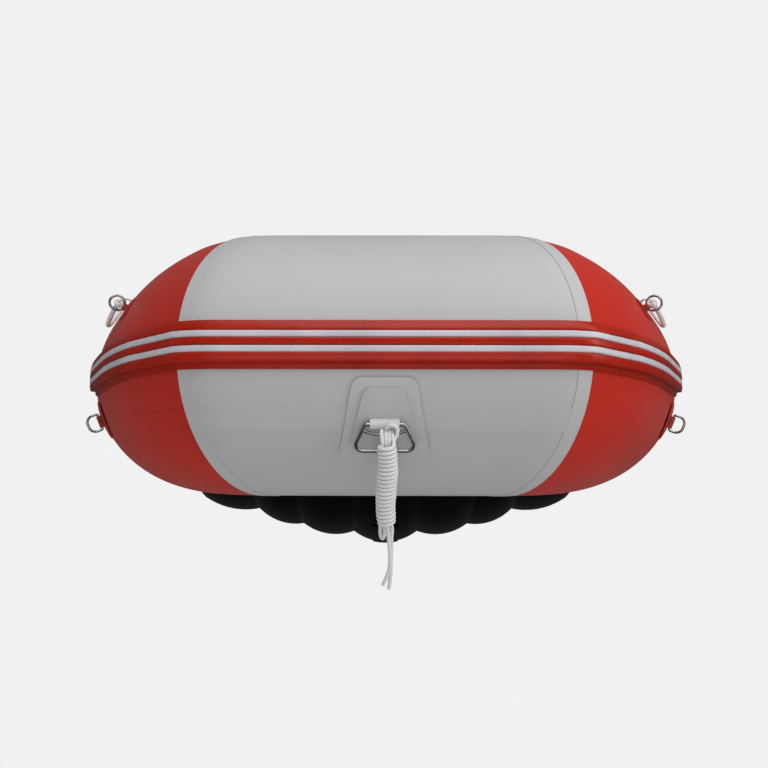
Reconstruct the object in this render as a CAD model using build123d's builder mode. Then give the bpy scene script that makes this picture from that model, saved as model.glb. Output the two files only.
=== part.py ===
"""Inflatable dinghy with an airtight V floor, a plywood transom and two thwarts.

The bow points along -Y, up is +Z and starboard is -X. The ground under the keel is z = 0, and the
origin is under the middle of the boat. The starboard half is laid out first and mirrored to port.
"""
from build123d import *
import os
from math import asin, cos, degrees, radians, sin, tan

os.makedirs("parts", exist_ok=True)

# ---- Driving dimensions, in millimetres and degrees ----------------------------------------
HULL_LENGTH = 3200.0        # foremost point of the bow fittings to the tips of the stern cones
TUBE_RADIUS = 210.0         # outside of the buoyancy tube
FABRIC = 1.0                # coated fabric of tubes and floor
GLUE_GAP = 0.3              # left under every glued-on piece

BOW_HALF = 198.0            # centreline to the mitred corner, along the crosspiece's axis
CORNER_TURN = 47.0          # the tube turns this much at the mitred corner
SHOULDER_RADIUS = 490.0     # axis radius of the bend after the corner
SHOULDER_END = 61.0         # heading where the shoulder ends
QUARTER_RADIUS = 1560.0     # axis radius of the long bend that brings the tube level
BOW_SLOPE = 22.5            # the bow's plane rises forward at this angle
KEEL_DEPTH = 15.0           # keel below the underside of the side tubes
CONE_LENGTH = 400.0
CONE_TIP_RADIUS = 95.0
CONE_CAP_DEPTH = 28.0

TAPE = 0.7                  # thickness of seam tape
RING_TAPE_HALF = 20.0       # half the width of a ring seam's tape
BOW_TAPE_WIDTH = 21.0       # the bow tube's ring tapes, in from the mitred corners
RED_SEAM_TURN = 7.0         # the shoulder's ring seam, past the corner
LAP_ANGLE = -29.5           # middle of the lengthwise seam's tape, round the tube
LAP_HALF = 4.8              # half its width, as an angle

STRAKE_FLANGE = 9.0         # widths round the tube, from the strake's edge inwards
STRAKE_RIB = 13.5
STRAKE_GROOVE = 8.5
STRAKE_MIDDLE_RIB = 11.0
STRAKE_FLANGE_THICK = 3.0
STRAKE_RIB_HEIGHT = 15.0
STRAKE_GROOVE_FLOOR = 8.0
STRIPE_TOP = 12.5
STRIPE_PLAY = 0.3

FLOOR_CUSPS = ((62.0, 21.0), (161.0, 36.0), (249.0, 66.0), (372.0, 100.0))
FLOOR_LOBE_SAG = 0.13       # depth of a lobe as a share of its width
KEEL_LOBE_SAG = 21.0
FLOOR_TOP = 108.0           # height of the seams in the floor's top skin
FLOOR_TOP_SAG = 0.065
NOSE_RADIUS = 350.0         # the keel's upward curve under the bow
NOSE_TURN = 78.0
NOSE_BACK = 305.0           # where it starts, behind the crosspiece's axis
KEEL_STRIP_WIDTH = 48.0
KEEL_STRIP_THICK = 2.0
KEEL_STRIP_TURN = 50.0      # how far the strip follows the keel's upward curve

TRANSOM_SETBACK = 80.0      # transom's aft face, ahead of the cones
TRANSOM_THICK = 27.0
TRANSOM_TOP = 400.0
TRANSOM_SHOULDER = 424.0
TRANSOM_WELL_HALF = 230.0
BRACKET_THICK = 5.0
BRACKET_REACH = 40.0
BRACKET_HALF = 48.0
PAD_THICK = 8.0
DRAIN_X, DRAIN_Z = -150.0, 165.0
DRAIN_RADIUS = 14.0
STERN_EYE_X, STERN_EYE_Z = 254.0, 320.0

VALVE_RADIUS = 22.0
VALVE_BORE = 15.0
VALVE_FLANGE_THICK = 3.0
VALVE_RISE = 6.0            # how far the body stands above the tube
VALVE_FLANGE_RADIUS = 34.0
VALVE_DEPTH = 26.0
VALVE_CAP_RADIUS = 20.0
VALVE_CAP_HEIGHT = 13.0
SIDE_VALVE_BACK = 1250.0    # along the side tube
SIDE_VALVE_ANGLE = 146.0
BOW_VALVE_OFF = 40.0
BOW_VALVE_ANGLE = 146.0
FLOOR_VALVE_Y = 820.0

ROLL_ANGLE = -29.5          # tow ring's strap roll, round the bow tube
ROLL_HEIGHT = 14.0          # its axis over the tube
ROLL_RADIUS = 6.5
ROLL_HALF = 20.0
RING_WIRE = 2.6
RING_TOP_HALF = 27.0
RING_BASE_HALF = 47.0
RING_DROP = 38.0
RING_BAR_DIP = 15.0
TOW_SWING = 60.0

ROPE_RADIUS = 2.75          # painter
HANK_X = 5.0
HANK_RADIUS = 14.3
HANK_TOP = 27.0             # drops below the tow ring's hinge
HANK_FOOT = 144.0
BIGHT_FOOT = 166.0
LIFELINE_RADIUS = 4.0

SIDE_RING_TURN = 6.0        # along the quarter bend
SIDE_RING_ANGLE = -23.0
SIDE_RING_HALF = 15.0
SIDE_RING_REACH = 24.0
SIDE_RING_WIRE = 2.2
SIDE_RING_HEIGHT = 8.6

EYE_ANGLES = (26.0, 45.0, 45.0, 45.0, 45.0)   # lifeline eyes, round the tube
EYE_RING_RADIUS = 12.0
EYE_WIRE = 2.0
EYE_BAR_HEIGHT = 6.5
EYE_STRAP_HALF = 4.5

ROWLOCK_BACK = 600.0        # along the side tube
ROWLOCK_ARMS = 80.0         # tops of its arms over the tube
ROWLOCK_BORE = 8.1
ROWLOCK_PIN = 8.0
ROWLOCK_ROD = 6.0
ROWLOCK_OPENING = 25.0
HANDLE_BACK = 250.0
HANDLE_GRIP = 11.0
HANDLE_HALF = 68.0
HANDLE_RISE = 48.0

RAIL_ANGLE = 130.0          # thwart rails, round the side tube
RAIL_START, RAIL_END = 60.0, 1150.0
RAIL_WIDTH, RAIL_HEIGHT = 26.0, 9.0
THWART_THICK = 20.0
THWART_WIDTH = 200.0
THWART_PLAY = 0.6
FORE_THWART_BACK = 300.0
AFT_THWART_BACK = 900.0
CLIP_HALF = 60.0
CLIP_WALL = 4.0
CLIP_SHELF = 215.0          # inner end of the shelf, from the tube's axis

# ---- The tube's centreline --------------------------------------------------------------------
SLOPE = radians(BOW_SLOPE)
OUT = Vector(-1, 0, 0)                              # to starboard
AFT = Vector(0, cos(SLOPE), -sin(SLOPE))            # aft along the bow's plane
BOW_UP = Vector(0, sin(SLOPE), cos(SLOPE))          # square to that plane
STERNWARD = Vector(0, 1, 0)


def heading(turn):
    """The way the centreline runs in the bow's plane, after turning from straight to starboard."""
    return OUT * cos(radians(turn)) + AFT * sin(radians(turn))


def outward(turn):
    """Square to the centreline in the bow's plane, away from the cockpit."""
    return OUT * sin(radians(turn)) - AFT * cos(radians(turn))


class Leg:
    """A stretch of the tube's centreline, straight or bent, starting square to a section plane.

    In a section plane, x points out of the boat and y up round the tube."""

    def __init__(self, start, length=0.0, radius=0.0, normal=None, turn=0.0):
        self.start = start
        self.normal = normal
        self.travel = turn if normal else length
        self.centre = start.origin + normal.cross(start.z_dir) * radius if normal else None

    def at(self, travel):
        """The section plane after some travel, in millimetres if straight, in degrees if bent."""
        start = self.start
        if self.normal is None:
            return Plane(start.origin + start.z_dir * travel, x_dir=start.x_dir, z_dir=start.z_dir)
        spin = Axis((0, 0, 0), self.normal)
        arm = (start.origin - self.centre).rotate(spin, travel)
        return Plane(
            self.centre + arm,
            x_dir=start.x_dir.rotate(spin, travel),
            z_dir=start.z_dir.rotate(spin, travel),
        )

    def carry(self, profile, first=0.0, last=None):
        """Carry a cross-section along the leg, into the part that is open."""
        last = self.travel if last is None else last
        plane = self.at(first)
        with BuildSketch(plane) as section:
            profile()
        if self.normal is None:
            extrude(section.sketch, amount=last - first, dir=plane.z_dir)
        else:
            revolve(section.sketch, axis=Axis(self.centre, self.normal), revolution_arc=last - first)


def bow_legs(bow):
    """The crosspiece, the shoulder and the quarter, from the bow's middle point."""
    crosspiece = Leg(Plane(bow, x_dir=outward(0), z_dir=heading(0)), length=BOW_HALF)
    corner = Plane(
        crosspiece.at(BOW_HALF).origin, x_dir=outward(CORNER_TURN), z_dir=heading(CORNER_TURN)
    )
    shoulder = Leg(
        corner, radius=SHOULDER_RADIUS, normal=BOW_UP * -1, turn=SHOULDER_END - CORNER_TURN
    )
    bend = shoulder.at(shoulder.travel)
    level = bend.z_dir.cross(STERNWARD).normalized()
    turn = degrees(asin(bend.z_dir.cross(STERNWARD).length))
    quarter = Leg(bend, radius=QUARTER_RADIUS, normal=level, turn=turn)
    return crosspiece, shoulder, quarter


def round_tube(reach, angle):
    """A point of a cross-section, by its distance from the axis and its angle round the tube."""
    return Vector(reach * cos(radians(angle)), reach * sin(radians(angle)))


def strake_outline():
    """The rub strake's outer corners, from its lower edge to its upper edge."""
    half = STRAKE_MIDDLE_RIB / 2
    steps = [
        (half, STRAKE_RIB_HEIGHT),
        (half, STRAKE_GROOVE_FLOOR),
        (half + STRAKE_GROOVE, STRAKE_GROOVE_FLOOR),
        (half + STRAKE_GROOVE, STRAKE_RIB_HEIGHT),
        (half + STRAKE_GROOVE + STRAKE_RIB, STRAKE_RIB_HEIGHT - 3),
        (half + STRAKE_GROOVE + STRAKE_RIB, STRAKE_FLANGE_THICK),
        (half + STRAKE_GROOVE + STRAKE_RIB + STRAKE_FLANGE, STRAKE_FLANGE_THICK - 1),
    ]
    above = [
        round_tube(STRAKE_SEAT + height, degrees(along / TUBE_RADIUS)) for along, height in steps
    ]
    below = [Vector(point.X, -point.Y) for point in above]
    return below[::-1] + above


RING_TAPE_SEAT = TUBE_RADIUS + GLUE_GAP
STRAKE_SEAT = RING_TAPE_SEAT + TAPE + GLUE_GAP
LAP_SEAT = STRAKE_SEAT
PATCH_SEAT = LAP_SEAT + TAPE + GLUE_GAP
STRAKE_REACH = max(p.X * cos(SLOPE) - p.Y * sin(SLOPE) for p in strake_outline())
ROLL_REACH = (TUBE_RADIUS + ROLL_HEIGHT) * cos(radians(BOW_SLOPE + ROLL_ANGLE)) + ROLL_RADIUS

AXIS_Z = KEEL_DEPTH + TUBE_RADIUS
RISE = -bow_legs(Vector(0, 0, 0))[2].at(bow_legs(Vector(0, 0, 0))[2].travel).origin.Z
BOW = Vector(0, -HULL_LENGTH / 2 + max(STRAKE_REACH, ROLL_REACH), AXIS_Z + RISE)
crosspiece, shoulder, quarter = bow_legs(BOW)
quarter_end = quarter.at(quarter.travel)
AXIS_X = -quarter_end.origin.X
CONE_START = HULL_LENGTH / 2 - CONE_CAP_DEPTH - CONE_LENGTH
side = Leg(quarter_end, length=CONE_START - quarter_end.origin.Y)
TRANSOM_AFT = CONE_START - TRANSOM_SETBACK
TRANSOM_FRONT = TRANSOM_AFT - TRANSOM_THICK
CORNER_LEAD = (TUBE_RADIUS + 40) * tan(radians(CORNER_TURN / 2))


def mitre(shift=0.0):
    """The plane between crosspiece and shoulder, moved along the hull."""
    direction = heading(CORNER_TURN / 2)
    corner = crosspiece.at(BOW_HALF).origin
    return Plane(corner + direction * shift, x_dir=outward(CORNER_TURN / 2), z_dir=direction)


def to_port(plane):
    """A plane's mirror image, with its z axis still leading away from the bow."""
    origin, x_dir, z_dir = [Vector(-v.X, v.Y, v.Z) for v in (plane.origin, plane.x_dir, plane.z_dir)]
    return Plane(origin, x_dir=x_dir, z_dir=z_dir)


def on_tube(section, angle, height=0.0):
    """A plane on the tube, with z outward and x along the hull."""
    normal = section.x_dir.rotate(Axis((0, 0, 0), section.z_dir), angle)
    origin = section.origin + normal * (TUBE_RADIUS + height)
    return Plane(origin, x_dir=section.z_dir, z_dir=normal)


def ring_section(inner, outer):
    """A full ring round the tube's axis."""
    Circle(outer)
    Circle(inner, mode=Mode.SUBTRACT)


def sector_section(inner, outer, first, last):
    """Part of a ring, between two angles less than a half turn apart."""
    ring_section(inner, outer)
    far = 2 * outer
    middle = (first + last) / 2
    corners = [round_tube(far, a) for a in (first, middle, last)]
    Polygon((0, 0), *[(p.X, p.Y) for p in corners], align=None, mode=Mode.INTERSECT)


def strake_section():
    """The rub strake's profile, seated round the tube."""
    points = [(p.X, p.Y) for p in strake_outline()]
    Polygon((STRAKE_SEAT * 0.9, 0), *points, align=None)
    Circle(STRAKE_SEAT, mode=Mode.SUBTRACT)


def stripe_section(sign):
    """An inlaid stripe, on the upper (1) or lower (-1) side of the middle rib."""
    low = STRAKE_MIDDLE_RIB / 2 + STRIPE_PLAY
    high = STRAKE_MIDDLE_RIB / 2 + STRAKE_GROOVE - STRIPE_PLAY
    floor = STRAKE_SEAT + STRAKE_GROOVE_FLOOR + STRIPE_PLAY
    angles = [degrees(sign * along / TUBE_RADIUS) for along in (low, high)]
    inner = [round_tube(floor, a) for a in angles]
    outer = [round_tube(STRAKE_SEAT + STRIPE_TOP, a) for a in angles[::-1]]
    Polygon(*[(p.X, p.Y) for p in inner + outer], align=None)


def crosspiece_run(profile, inset=0.0):
    """The cross-section carried along the crosspiece, cut on the mitre planes or inside them."""
    with BuildPart() as run:
        crosspiece.carry(profile, first=-BOW_HALF - CORNER_LEAD, last=BOW_HALF + CORNER_LEAD)
        split(bisect_by=mitre(-inset), keep=Keep.BOTTOM)
        split(bisect_by=to_port(mitre(-inset)), keep=Keep.BOTTOM)
    return run.part


def side_run(profile, *legs, inset=0.0):
    """The cross-section carried aft from the starboard mitre along the given legs."""
    with BuildPart() as run:
        shoulder_in = Leg(shoulder.start, length=0.0)
        shoulder_in.carry(profile, first=-CORNER_LEAD, last=0.0)
        for leg in legs:
            leg.carry(profile)
        split(bisect_by=mitre(inset), keep=Keep.TOP)
    return run.part


def patch(section, angle, outline, inner, outer, half_length=150.0):
    """A patch that follows the tube, with a flat outline pressed through its wall."""
    start = Plane(section.origin - section.z_dir * half_length, x_dir=section.x_dir,
                  z_dir=section.z_dir)
    with BuildPart() as piece:
        with BuildSketch(start) as ring:
            ring_section(inner, outer)
        extrude(ring.sketch, amount=2 * half_length, dir=section.z_dir)
        with BuildSketch(on_tube(section, angle, -TUBE_RADIUS / 3)) as shape:
            outline()
        extrude(shape.sketch, amount=TUBE_RADIUS / 2, mode=Mode.INTERSECT)
    return piece.part


def bar(path_points, radii, wire, close=False):
    """A round bar bent along a line of points."""
    with BuildPart() as piece:
        with BuildLine() as path:
            FilletPolyline(*path_points, radius=radii, close=close)
        start = Plane(origin=path.line @ 0, z_dir=path.line % 0)
        with BuildSketch(start) as section:
            Circle(wire)
        sweep(section.sketch, path=path.line, transition=Transition.ROUND)
    return piece.part


def upright(y):
    """A plane across the starboard side tube: x outward, y up, z aft."""
    return Plane((-AXIS_X, y, AXIS_Z), x_dir=(-1, 0, 0), z_dir=(0, 1, 0))


# ---- Buoyancy tubes ---------------------------------------------------------------------------
def tube_section():
    ring_section(TUBE_RADIUS - FABRIC, TUBE_RADIUS)


def valve_hole(section, angle):
    """The hole in the tube's wall that a valve's body passes through."""
    with BuildSketch(on_tube(section, angle, -40)) as hole:
        Circle(VALVE_RADIUS + 0.5)
    extrude(hole.sketch, amount=60, mode=Mode.SUBTRACT)


bow_valve_section = crosspiece.at(BOW_VALVE_OFF)
side_valve_section = side.at(SIDE_VALVE_BACK)

with BuildPart() as bow_tube:
    add(crosspiece_run(tube_section))
    valve_hole(bow_valve_section, BOW_VALVE_ANGLE)
bow_tube.part.label = "bow_tube"
export_step(bow_tube.part, "parts/bow_tube.step")

with BuildPart() as starboard_bow_tube:
    add(side_run(tube_section, shoulder, quarter))
starboard_bow_tube.part.label = "starboard_bow_tube"
export_step(starboard_bow_tube.part, "parts/starboard_bow_tube.step")

with BuildPart() as port_bow_tube:
    mirror(starboard_bow_tube.part, about=Plane.YZ)
port_bow_tube.part.label = "port_bow_tube"
export_step(port_bow_tube.part, "parts/port_bow_tube.step")

with BuildPart() as starboard_side_tube:
    side.carry(tube_section)
    valve_hole(side_valve_section, SIDE_VALVE_ANGLE)
starboard_side_tube.part.label = "starboard_side_tube"
export_step(starboard_side_tube.part, "parts/starboard_side_tube.step")

with BuildPart() as port_side_tube:
    mirror(starboard_side_tube.part, about=Plane.YZ)
port_side_tube.part.label = "port_side_tube"
export_step(port_side_tube.part, "parts/port_side_tube.step")

cone_plane = side.at(side.travel)
with BuildPart() as starboard_stern_cone:
    with BuildSketch(cone_plane):
        Circle(TUBE_RADIUS)
    with BuildSketch(cone_plane.offset(CONE_LENGTH)):
        Circle(CONE_TIP_RADIUS)
    loft()
    with BuildSketch(cone_plane):
        Circle(TUBE_RADIUS - FABRIC)
    with BuildSketch(cone_plane.offset(CONE_LENGTH)):
        Circle(CONE_TIP_RADIUS - FABRIC)
    loft(mode=Mode.SUBTRACT)
starboard_stern_cone.part.label = "starboard_stern_cone"
export_step(starboard_stern_cone.part, "parts/starboard_stern_cone.step")

with BuildPart() as port_stern_cone:
    mirror(starboard_stern_cone.part, about=Plane.YZ)
port_stern_cone.part.label = "port_stern_cone"
export_step(port_stern_cone.part, "parts/port_stern_cone.step")

cap_seat = cone_plane.offset(CONE_LENGTH + GLUE_GAP)
CAP_FLAT = 12.0
with BuildPart() as cone_caps:
    with BuildSketch(cap_seat):
        Circle(CONE_TIP_RADIUS)
    extrude(amount=CONE_CAP_DEPTH - GLUE_GAP)
    fillet(cone_caps.faces().sort_by(Axis.Y)[-1].edges(), radius=CONE_CAP_DEPTH - CAP_FLAT)
    mirror(about=Plane.YZ)
cone_caps.part.label = "cone_caps"
export_step(cone_caps.part, "parts/cone_caps.step")

BAFFLE_RIM = TUBE_RADIUS - FABRIC - GLUE_GAP
BAFFLE_CROWN = 60.0
BAFFLE_DEPTH = 90.0
baffle_plane = quarter.at(10)
with BuildPart() as chamber_baffles:
    with BuildSketch(baffle_plane):
        Circle(BAFFLE_RIM)
    with BuildSketch(baffle_plane.offset(BAFFLE_DEPTH)):
        Circle(BAFFLE_CROWN)
    loft()
    with BuildSketch(baffle_plane.offset(-2 * FABRIC)):
        Circle(BAFFLE_RIM)
    with BuildSketch(baffle_plane.offset(BAFFLE_DEPTH - 2 * FABRIC)):
        Circle(BAFFLE_CROWN)
    loft(mode=Mode.SUBTRACT)
    mirror(about=Plane.YZ)
chamber_baffles.part.label = "chamber_baffles"
export_step(chamber_baffles.part, "parts/chamber_baffles.step")


# ---- Seam tapes -------------------------------------------------------------------------------
def ring_tape_section():
    ring_section(RING_TAPE_SEAT, RING_TAPE_SEAT + TAPE)


def lap_tape_section():
    sector_section(LAP_SEAT, LAP_SEAT + TAPE, LAP_ANGLE - LAP_HALF, LAP_ANGLE + LAP_HALF)


with BuildPart() as bow_seam_tapes:
    add(crosspiece_run(ring_tape_section))
    split(bisect_by=mitre(-BOW_TAPE_WIDTH), keep=Keep.TOP)
    mirror(about=Plane.YZ)
bow_seam_tapes.part.label = "bow_seam_tapes"
export_step(bow_seam_tapes.part, "parts/bow_seam_tapes.step")

RED_SEAM_REACH = 88.0
SEAM_TURN = degrees(RING_TAPE_HALF / SHOULDER_RADIUS)
QUARTER_TAPE_TURN = degrees(RING_TAPE_HALF / QUARTER_RADIUS)
with BuildPart() as side_seam_tapes:
    shoulder.carry(
        lambda: sector_section(
            RING_TAPE_SEAT, RING_TAPE_SEAT + TAPE, -RED_SEAM_REACH, RED_SEAM_REACH
        ),
        first=RED_SEAM_TURN - SEAM_TURN,
        last=RED_SEAM_TURN + SEAM_TURN,
    )
    quarter.carry(ring_tape_section, first=quarter.travel - QUARTER_TAPE_TURN)
    side.carry(ring_tape_section, last=RING_TAPE_HALF)
    side.carry(ring_tape_section, first=side.travel - 2 * RING_TAPE_HALF)
    mirror(about=Plane.YZ)
side_seam_tapes.part.label = "side_seam_tapes"
export_step(side_seam_tapes.part, "parts/side_seam_tapes.step")

with BuildPart() as bow_lap_tape:
    add(crosspiece_run(lap_tape_section))
bow_lap_tape.part.label = "bow_lap_tape"
export_step(bow_lap_tape.part, "parts/bow_lap_tape.step")

with BuildPart() as side_lap_tapes:
    add(side_run(lap_tape_section, shoulder, quarter, side))
    mirror(about=Plane.YZ)
side_lap_tapes.part.label = "side_lap_tapes"
export_step(side_lap_tapes.part, "parts/side_lap_tapes.step")

# ---- Rub strake -------------------------------------------------------------------------------
for name, profile in (
    ("rub_strake", strake_section),
    ("upper_stripe", lambda: stripe_section(1)),
    ("lower_stripe", lambda: stripe_section(-1)),
):
    with BuildPart() as strake_piece:
        add(crosspiece_run(profile))
        add(side_run(profile, shoulder, quarter, side))
        mirror(side_run(profile, shoulder, quarter, side), about=Plane.YZ)
    strake_piece.part.label = name
    export_step(strake_piece.part, f"parts/{name}.step")

STRAKE_END_LENGTH = 45.0
with BuildPart() as strake_ends:
    with BuildSketch(cone_plane.offset(GLUE_GAP)) as end_root:
        strake_section()
    extrude(amount=STRAKE_END_LENGTH)
    with BuildSketch(cone_plane.offset(GLUE_GAP)):
        Circle(TUBE_RADIUS + GLUE_GAP)
    extrude(amount=STRAKE_END_LENGTH, mode=Mode.SUBTRACT)
    mirror(about=Plane.YZ)
strake_ends.part.label = "strake_ends"
export_step(strake_ends.part, "parts/strake_ends.step")


# ---- V floor ------------------------------------------------------------------------------------
def across(y):
    """An upright plane across the boat: x to port, y up, and it extrudes forward."""
    return Plane((0, y, 0), x_dir=(1, 0, 0), z_dir=(0, -1, 0))


FLOOR_BASE = KEEL_STRIP_THICK + GLUE_GAP
FLOOR_AFT = TRANSOM_FRONT - GLUE_GAP
NOSE_START = BOW.Y + NOSE_BACK
nose_axis = Axis((0, NOSE_START, NOSE_RADIUS), (-1, 0, 0))
bottom_cusps = [Vector(x, z + FLOOR_BASE) for x, z in FLOOR_CUSPS]
bottom_cusps = [Vector(-p.X, p.Y) for p in bottom_cusps[::-1]] + bottom_cusps
top_cusps = [Vector(p.X, FLOOR_TOP) for p in bottom_cusps]


def lobe(first, last, sag, side_of_chord):
    """Centre and radius of a lobe that bulges from the chord between two cusps."""
    half = (last - first).length / 2
    radius = (half**2 + sag**2) / (2 * sag)
    normal = Vector(first.Y - last.Y, last.X - first.X).normalized() * side_of_chord
    return (first + last) * 0.5 - normal * (radius - sag), radius


def lobed_region(cusps, inset, bulge):
    """What lies on the inner side of a lobed skin; bulge is -1 for a bottom skin, 1 for a top."""
    far = -1000.0 * bulge
    step = -3 * inset * bulge
    corners = [(p.X, p.Y + step) for p in cusps]
    Polygon(*corners, (cusps[-1].X, far), (cusps[0].X, far), align=None)
    for number, (first, last) in enumerate(zip(cusps, cusps[1:])):
        width = (last - first).length
        keel = number == len(cusps) // 2 - 1 and bulge < 0
        sag = KEEL_LOBE_SAG if keel else width * (FLOOR_LOBE_SAG if bulge < 0 else FLOOR_TOP_SAG)
        centre, radius = lobe(first, last, sag, bulge)
        with Locations((centre.X, centre.Y)):
            Circle(radius - inset)


def lobed_skin(cusps, bulge):
    """The cross-section of a lobed skin, one fabric thick."""
    with BuildSketch(Plane.XY) as whole:
        lobed_region(cusps, 0.0, bulge)
    with BuildSketch(Plane.XY) as inner:
        lobed_region(cusps, FABRIC, bulge)
    with BuildSketch(Plane.XY) as between:
        Rectangle(2 * cusps[-1].X, 4 * cusps[-1].X)
    return (whole.sketch - inner.sketch) & between.sketch


def web_section():
    """The upright webs between the seams of the two skins."""
    for bottom, top in zip(bottom_cusps[1:-1], top_cusps[1:-1]):
        low, high = bottom.Y + 2 * FABRIC, top.Y - 2 * FABRIC
        with Locations((bottom.X, (low + high) / 2)):
            Rectangle(FABRIC, high - low)


def keel_strip_section():
    """The wear strip bonded under the keel lobe."""
    centre, radius = lobe(bottom_cusps[3], bottom_cusps[4], KEEL_LOBE_SAG, -1)
    with Locations((0, centre.Y)):
        Circle(radius + FLOOR_BASE)
        Circle(radius + GLUE_GAP, mode=Mode.SUBTRACT)
    with Locations((0, centre.Y - radius)):
        Rectangle(KEEL_STRIP_WIDTH, 4 * KEEL_STRIP_WIDTH / 3, mode=Mode.INTERSECT)


def floor_run(section, turn=NOSE_TURN, aft=FLOOR_AFT):
    """A cross-section carried from the transom to the nose and up its curve."""
    with BuildPart() as run:
        flat = across(aft).location * section
        extrude(flat, amount=aft - NOSE_START, dir=(0, -1, 0))
        rising = across(NOSE_START).location * section
        revolve(rising, axis=nose_axis, revolution_arc=turn)
    return run.part


def inside_hull():
    """The space inside the tube's centreline, ahead of the transom."""
    places = [BOW, crosspiece.at(BOW_HALF).origin]
    places += [shoulder.at(shoulder.travel * n / 4).origin for n in range(1, 5)]
    places += [quarter.at(quarter.travel * n / 12).origin for n in range(1, 13)]
    plan = [(p.X, p.Y) for p in places] + [(-AXIS_X, FLOOR_AFT)]
    plan += [(-x, y) for x, y in plan[:0:-1]]
    with BuildPart() as space:
        with BuildSketch(Plane.XY.offset(-10)):
            Polygon(*plan, align=None)
        extrude(amount=BOW.Z + 10)
    return space.part


def disc_section():
    Circle(STRAKE_SEAT)


half_envelope = side_run(disc_section, shoulder, quarter, side)
with BuildPart() as hull_envelope:
    add(crosspiece_run(disc_section))
    add(half_envelope)
    mirror(half_envelope, about=Plane.YZ)

with BuildSketch(Plane.XY) as web_sketch:
    web_section()
with BuildSketch(Plane.XY) as keel_sketch:
    keel_strip_section()

cockpit_plan = inside_hull()
floor_sections = (
    ("floor_bottom_skin", lobed_skin(bottom_cusps, -1)),
    ("floor_top_skin", lobed_skin(top_cusps, 1)),
    ("floor_webs", web_sketch.sketch),
)
FLOOR_CROWN = FLOOR_TOP + 2 * top_cusps[4].X * FLOOR_TOP_SAG
floor_valve_seat = Plane.XY.offset(FLOOR_CROWN)
for name, section in floor_sections:
    with BuildPart() as floor_piece:
        add(floor_run(section))
        add(cockpit_plan, mode=Mode.INTERSECT)
        add(hull_envelope.part, mode=Mode.SUBTRACT)
        if name == "floor_top_skin":
            with BuildSketch(floor_valve_seat.offset(-VALVE_RADIUS)):
                with Locations((0, FLOOR_VALVE_Y)):
                    Circle(VALVE_RADIUS + 0.5)
            extrude(amount=2 * VALVE_RADIUS, mode=Mode.SUBTRACT)
    floor_piece.part.label = name
    export_step(floor_piece.part, f"parts/{name}.step")

KEEL_STRIP_AFT = FLOOR_AFT - 30.0
with BuildPart() as keel_strip:
    add(floor_run(keel_sketch.sketch, turn=KEEL_STRIP_TURN, aft=KEEL_STRIP_AFT))
keel_strip.part.label = "keel_strip"
export_step(keel_strip.part, "parts/keel_strip.step")


# ---- Transom ----------------------------------------------------------------------------------
BRACKET_FIRST, BRACKET_LAST = 112.0, 204.0
BOARD_EDGE = TUBE_RADIUS + BRACKET_THICK + 2 * GLUE_GAP
WELL_RAMP = 30.0
SHOULDER_END_X = AXIS_X - TUBE_RADIUS / 4
with BuildPart() as transom_board:
    with BuildSketch(across(TRANSOM_AFT)):
        lower = [(p.X, p.Y) for p in bottom_cusps]
        right = [
            (SHOULDER_END_X, TRANSOM_SHOULDER),
            (TRANSOM_WELL_HALF + WELL_RAMP, TRANSOM_SHOULDER),
            (TRANSOM_WELL_HALF, TRANSOM_TOP),
        ]
        left = [(-x, z) for x, z in right[::-1]]
        Polygon(*lower, (AXIS_X, AXIS_Z), *right, *left, (-AXIS_X, AXIS_Z), align=None)
        with Locations((-AXIS_X, AXIS_Z), (AXIS_X, AXIS_Z)):
            Circle(BOARD_EDGE, mode=Mode.SUBTRACT)
        with Locations((DRAIN_X, DRAIN_Z)):
            Circle(DRAIN_RADIUS, mode=Mode.SUBTRACT)
    extrude(amount=TRANSOM_THICK)
transom_board.part.label = "transom_board"
export_step(transom_board.part, "parts/transom_board.step")

PAD_TOP_GAP = 10.0
OUTER_PAD = (260.0, 180.0)
INNER_PAD = (220.0, 120.0)
PAD_CORNER = 12.0
with BuildPart() as outer_motor_pad:
    with BuildSketch(across(TRANSOM_AFT + GLUE_GAP + PAD_THICK)):
        with Locations((0, TRANSOM_TOP - PAD_TOP_GAP - OUTER_PAD[1] / 2)):
            RectangleRounded(*OUTER_PAD, PAD_CORNER)
    extrude(amount=PAD_THICK)
outer_motor_pad.part.label = "outer_motor_pad"
export_step(outer_motor_pad.part, "parts/outer_motor_pad.step")

with BuildPart() as inner_motor_pad:
    with BuildSketch(across(TRANSOM_FRONT - GLUE_GAP)):
        with Locations((0, TRANSOM_TOP - PAD_TOP_GAP - INNER_PAD[1] / 2)):
            RectangleRounded(*INNER_PAD, PAD_CORNER)
    extrude(amount=PAD_THICK)
inner_motor_pad.part.label = "inner_motor_pad"
export_step(inner_motor_pad.part, "parts/inner_motor_pad.step")

TRANSOM_MIDDLE = (TRANSOM_FRONT + TRANSOM_AFT) / 2
with BuildPart() as transom_brackets:
    with BuildSketch(upright(TRANSOM_MIDDLE - BRACKET_HALF)):
        sector_section(TUBE_RADIUS + GLUE_GAP, TUBE_RADIUS + GLUE_GAP + BRACKET_THICK,
                       BRACKET_FIRST, BRACKET_LAST)
    extrude(amount=2 * BRACKET_HALF)
    for cheek in (TRANSOM_FRONT - GLUE_GAP - BRACKET_THICK, TRANSOM_AFT + GLUE_GAP):
        with BuildSketch(upright(cheek)):
            sector_section(TUBE_RADIUS + BRACKET_THICK / 2, TUBE_RADIUS + BRACKET_REACH,
                           BRACKET_FIRST, BRACKET_LAST)
        extrude(amount=BRACKET_THICK)
    mirror(about=Plane.YZ)
transom_brackets.part.label = "transom_brackets"
export_step(transom_brackets.part, "parts/transom_brackets.step")

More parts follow.
